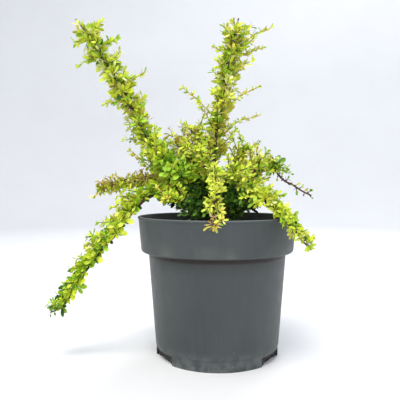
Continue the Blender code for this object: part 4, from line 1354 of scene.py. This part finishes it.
    def clothe(self, limb: Limb, seed: int) -> None:
        """Clothes one limb from its lowest leaf to its tip."""
        self.random = random.Random(100 + seed)
        route, dress = limb.route, limb.route.dress
        first = min(dress.low_start, route.starts[0][1])
        total = limb.length()
        count = max(3, round(total * (dress.end - first) / (dress.node_step * MM)))
        for index in range(count):
            share = first + (dress.end - first) * (index + 0.5) / count
            around = index * GOLDEN_ANGLE + self.random.uniform(-AROUND_SPREAD, AROUND_SPREAD)
            limb.nodes.append(share)
            if share > dress.sparse_from:
                dress = self.sparse(dress)
            self.tuft(limb, share, around, dress, index % 2 == 0)
            if dress.twig and index % dress.twig_every == 0:
                self.side_twig(limb, share, around + math.pi, dress)
        spot, along, _ = limb.at(1.0)
        if dress.knob:
            knob = Vector(dress.knob) * MM
            self.spurs.add(*tube(np.array([spot, knob]), np.array([0.8, 0.6]) * MM, 6))
            self.bud(knob, (knob - spot).normalized(), 1.9 * MM)
        else:
            side = along.orthogonal().normalized()
            self.rosette(spot, along, side, dress.leaves[0], dress, self.place_tone(spot, 1.0, dress), 0.85)
        for shoot in route.shoots:
            self.thin_shoot(limb, shoot, route.dress)
        for _ in range(route.dress.wild):
            self.wild_shoot(limb, route.dress)

    def grow(self) -> None:
        """Clothes every limb."""
        for seed, limb in enumerate(self.limbs):
            self.clothe(limb, seed)

    def build(self, materials: dict[str, bpy.types.Material]) -> None:
        """Joins what has grown, each kind apart, and dresses it.

        Args:
            materials: the materials of spurs, young shoots, thorns and buds, by the piece's name.
        """
        points, faces = LeafPattern().model()
        nodes = {
            slot: [name for limb in self.limbs if limb.route.slot == slot for name, _ in limb.route.starts]
            for slot in ("leaf_lime", "leaf_green", "leaf_gold")
        }
        for tone, leaves in self.leaves.items():
            roots = np.array([leaf[0] for leaf in leaves])
            axes = np.array([leaf[1] for leaf in leaves])
            sizes = np.array([leaf[2] for leaf in leaves])
            local = np.broadcast_to(points, (len(leaves), *points.shape)).copy()
            along = local[:, :, 1].copy()
            local[:, :, 0] *= 0.5 * sizes[:, 0, None] * 2.0
            local[:, :, 1] *= sizes[:, 1, None]
            local[:, :, 2] *= sizes[:, 3, None] * sizes[:, 0, None]
            local[:, :, 2] += sizes[:, 2, None] * along**2 * sizes[:, 1, None]
            placed = np.einsum("lpi,lij->lpj", local, axes) + roots[:, None, :]
            numbered = faces[None] + (np.arange(len(leaves)) * len(points))[:, None, None]
            joined = Gathered()
            joined.add(placed.reshape(-1, 3), numbered.reshape(-1, faces.shape[1]).tolist())
            material = LeafSkin(f"leaf_skin_{tone.name.lower()}", tone.colour).material()
            dressed(joined.make(tone.piece, material), material, nodes[tone.slot])
            LOG.info("%s: %d leaves", tone.piece, len(leaves))
        kinds = {"spurs_and_twigs": self.spurs, "young_shoots": self.young, "thorns": self.thorns, "buds": self.buds}
        for name, gathered in kinds.items():
            dressed(gathered.make(name, materials[name]), materials[name], [])


@dataclass
class Bark:
    """The basal stem and every limb, with ridges along the bark and a swelling at each node."""

    sides: int = 12
    ridges: int = 5
    ridge_depth: float = 0.07
    grain_depth: float = 0.10
    swelling: float = 0.20
    swelling_reach: float = 1.8 * MM
    stock_height: float = 26.0 * MM
    stock_rings: tuple[tuple[float, float], ...] = (
        (13.0, 0.0), (11.9, 0.06), (11.0, 0.12), (10.1, 0.22), (9.5, 0.35), (9.2, 0.55), (9.0, 0.80), (8.3, 0.91),
        (7.1, 0.965), (3.0, 1.0),
    )

    def relief(self, points: np.ndarray, sides: int, depth: float) -> np.ndarray:
        """Ridges that wind slowly round, broken by the bark's grain.

        Args:
            points: the line of the limb.
            sides: corners in each ring.
            depth: how much the ridges stand out, as a share of the radius.

        Returns:
            What each corner's radius is multiplied by.
        """
        turn = np.arange(sides) * 2.0 * math.pi / sides
        run = np.concatenate([[0.0], np.cumsum(np.linalg.norm(np.diff(points, axis=0), axis=1))])
        ridges = depth * np.cos(self.ridges * turn[None, :] + 60.0 * run[:, None])
        grain = np.array([
            [noise.noise(Vector(point) / (3.0 * MM) + Vector((math.cos(angle), math.sin(angle), 0.0)) * 1.3)
             for angle in turn]
            for point in points
        ])
        return 1.0 + ridges + self.grain_depth * grain

    def build(self, limbs: list[Limb], material: bpy.types.Material) -> None:
        """Joins the basal stem and the limbs into one piece and dresses it."""
        joined = Gathered()
        for limb in limbs:
            relief = self.relief(limb.points, self.sides, self.ridge_depth)
            places = np.linspace(0.0, 1.0, len(limb.points))
            swell = np.ones(len(places))
            for share in limb.nodes:
                away = (places - share) * limb.length() / self.swelling_reach
                swell += self.swelling * np.exp(-(away**2))
            joined.add(*tube(limb.points, limb.radii * swell, self.sides, relief))
        foot = MEDIUM_TOP + 0.3 * MM
        shares = np.linspace(0.0, 1.0, 26)
        outline = np.array(self.stock_rings)
        line = np.column_stack([0.0 * shares, 0.0 * shares, foot + shares * self.stock_height])
        radii = np.interp(shares, outline[:, 1], outline[:, 0]) * MM
        relief = self.relief(line, 28, 0.05)
        joined.add(*tube(line, radii, 28, relief))
        names = ["basal_stem", *(f"bough_{limb.route.name}" for limb in limbs)]
        dressed(joined.make("barberry_bark", material), material, names)


@dataclass
class Studio:
    """A pale sweep of sheet that rises all round, soft lights and the camera at the photograph's angle."""

    lens: float = 42.74
    camera_place: tuple[float, float, float] = (0.0, -0.5741, 0.1967)
    camera_down: float = 11.4 / 474.86
    camera_left: float = 17.0 / 474.86
    floor_radius: float = 2.0
    sheet_round: float = 1.0
    wall_height: float = 2.4
    sheet_thickness: float = 0.01

    def outline(self) -> list[tuple[float, float]]:
        """Radius and height of each ring, from the floor's middle up the wall and back underneath."""
        middle = 0.01
        sweep = [math.radians(7.5 * step) for step in range(13)]
        inner, outer = self.sheet_round, self.sheet_round + self.sheet_thickness
        up = [(self.floor_radius + inner * math.sin(a), inner * (1.0 - math.cos(a))) for a in sweep]
        down = [(self.floor_radius + outer * math.sin(a), inner - outer * math.cos(a)) for a in reversed(sweep)]
        top = [(self.floor_radius + width, self.wall_height) for width in (inner, outer)]
        return [(middle, 0.0), *up, *top, *down, (middle, -self.sheet_thickness)]

    def sheet(self, material: bpy.types.Material) -> None:
        """Models the floor and backdrop as one curved sheet."""
        made = turned("studio_sheet", self.outline(), 96)
        made.data.shade_smooth()
        made.data.materials.append(material)

    @staticmethod
    def light(
        name: str,
        place: tuple[float, float, float],
        size: float,
        power: float,
        colour: str,
        aim: tuple[float, float, float] = (0.0, 0.0, 0.18),
    ) -> None:
        """Adds one soft light.

        Args:
            name: the light's name.
            place: where it stands.
            size: the width of its disc.
            power: its power in watts.
            colour: its sRGB colour.
            aim: the point that it looks at, which is the shrub unless it is given.
        """
        data = bpy.data.lights.new(name, "AREA")
        data.shape = "DISK"
        data.size = size
        data.energy = power
        data.color = linear(colour)[:3]
        made = bpy.data.objects.new(name, data)
        made.location = place
        made.rotation_euler = (Vector(aim) - Vector(place)).to_track_quat("-Z", "Y").to_euler()
        bpy.context.scene.collection.objects.link(made)

    def camera(self) -> None:
        """Sets the camera at the photograph's place."""
        data = bpy.data.cameras.new("photo_camera")
        data.sensor_width = 36.0
        data.lens = self.lens
        made = bpy.data.objects.new("photo_camera", data)
        made.location = self.camera_place
        made.rotation_euler = (math.pi / 2 - math.atan(self.camera_down), 0.0, math.atan(self.camera_left))
        bpy.context.scene.collection.objects.link(made)
        bpy.context.scene.camera = made

    def build(self, material: bpy.types.Material) -> None:
        """Sets up sheet, sky light, lights and camera."""
        self.sheet(material)
        world = bpy.data.worlds.new("soft_sky")
        world.use_nodes = True
        sky = world.node_tree.nodes["Background"]
        sky.inputs["Color"].default_value = linear("#eef1f7")
        sky.inputs["Strength"].default_value = 0.76
        bpy.context.scene.world = world
        self.light("key_soft", (-0.40, -0.85, 2.1), 1.2, 46.0, "#fffaf2")
        self.light("fill_soft", (0.3, -2.0, 0.7), 1.4, 14.0, "#f6f8ff")
        self.light("back_soft", (0.4, 1.0, 1.6), 0.9, 14.0, "#ffffff")
        self.light("sheet_wash", (0.5, 1.3, 2.6), 1.6, 24.0, "#fbfcff", (0.9, 3.0, 0.9))
        bpy.context.scene.view_settings.view_transform = "Standard"
        self.camera()


def main() -> None:
    """Builds the pot, the compost, the bark, the foliage and the studio."""
    logging.basicConfig(level=logging.INFO, format="%(message)s")
    pot = NurseryPot()
    pot.build(MouldedPolypropylene().material())
    compost = CompostBed(pot)
    compost.bed(BARK_COMPOST.material())
    compost.scatter(CHIP_DARK.material(), CHIP_PALE.material())
    limbs = [Limb(route, seed) for seed, route in enumerate(ROUTES)]
    foliage = Foliage(limbs, Space(limbs, pot))
    foliage.grow()
    bark = RIDGED_BARK.material()
    Bark().build(limbs, bark)
    foliage.build({
        "spurs_and_twigs": bark,
        "young_shoots": YOUNG_BARK.material(),
        "thorns": DRY_THORN.material(),
        "buds": BUD_SCALE.material(),
    })
    Studio().build(STUDIO_SHEET.material())


if __name__ == "__main__":
    main()
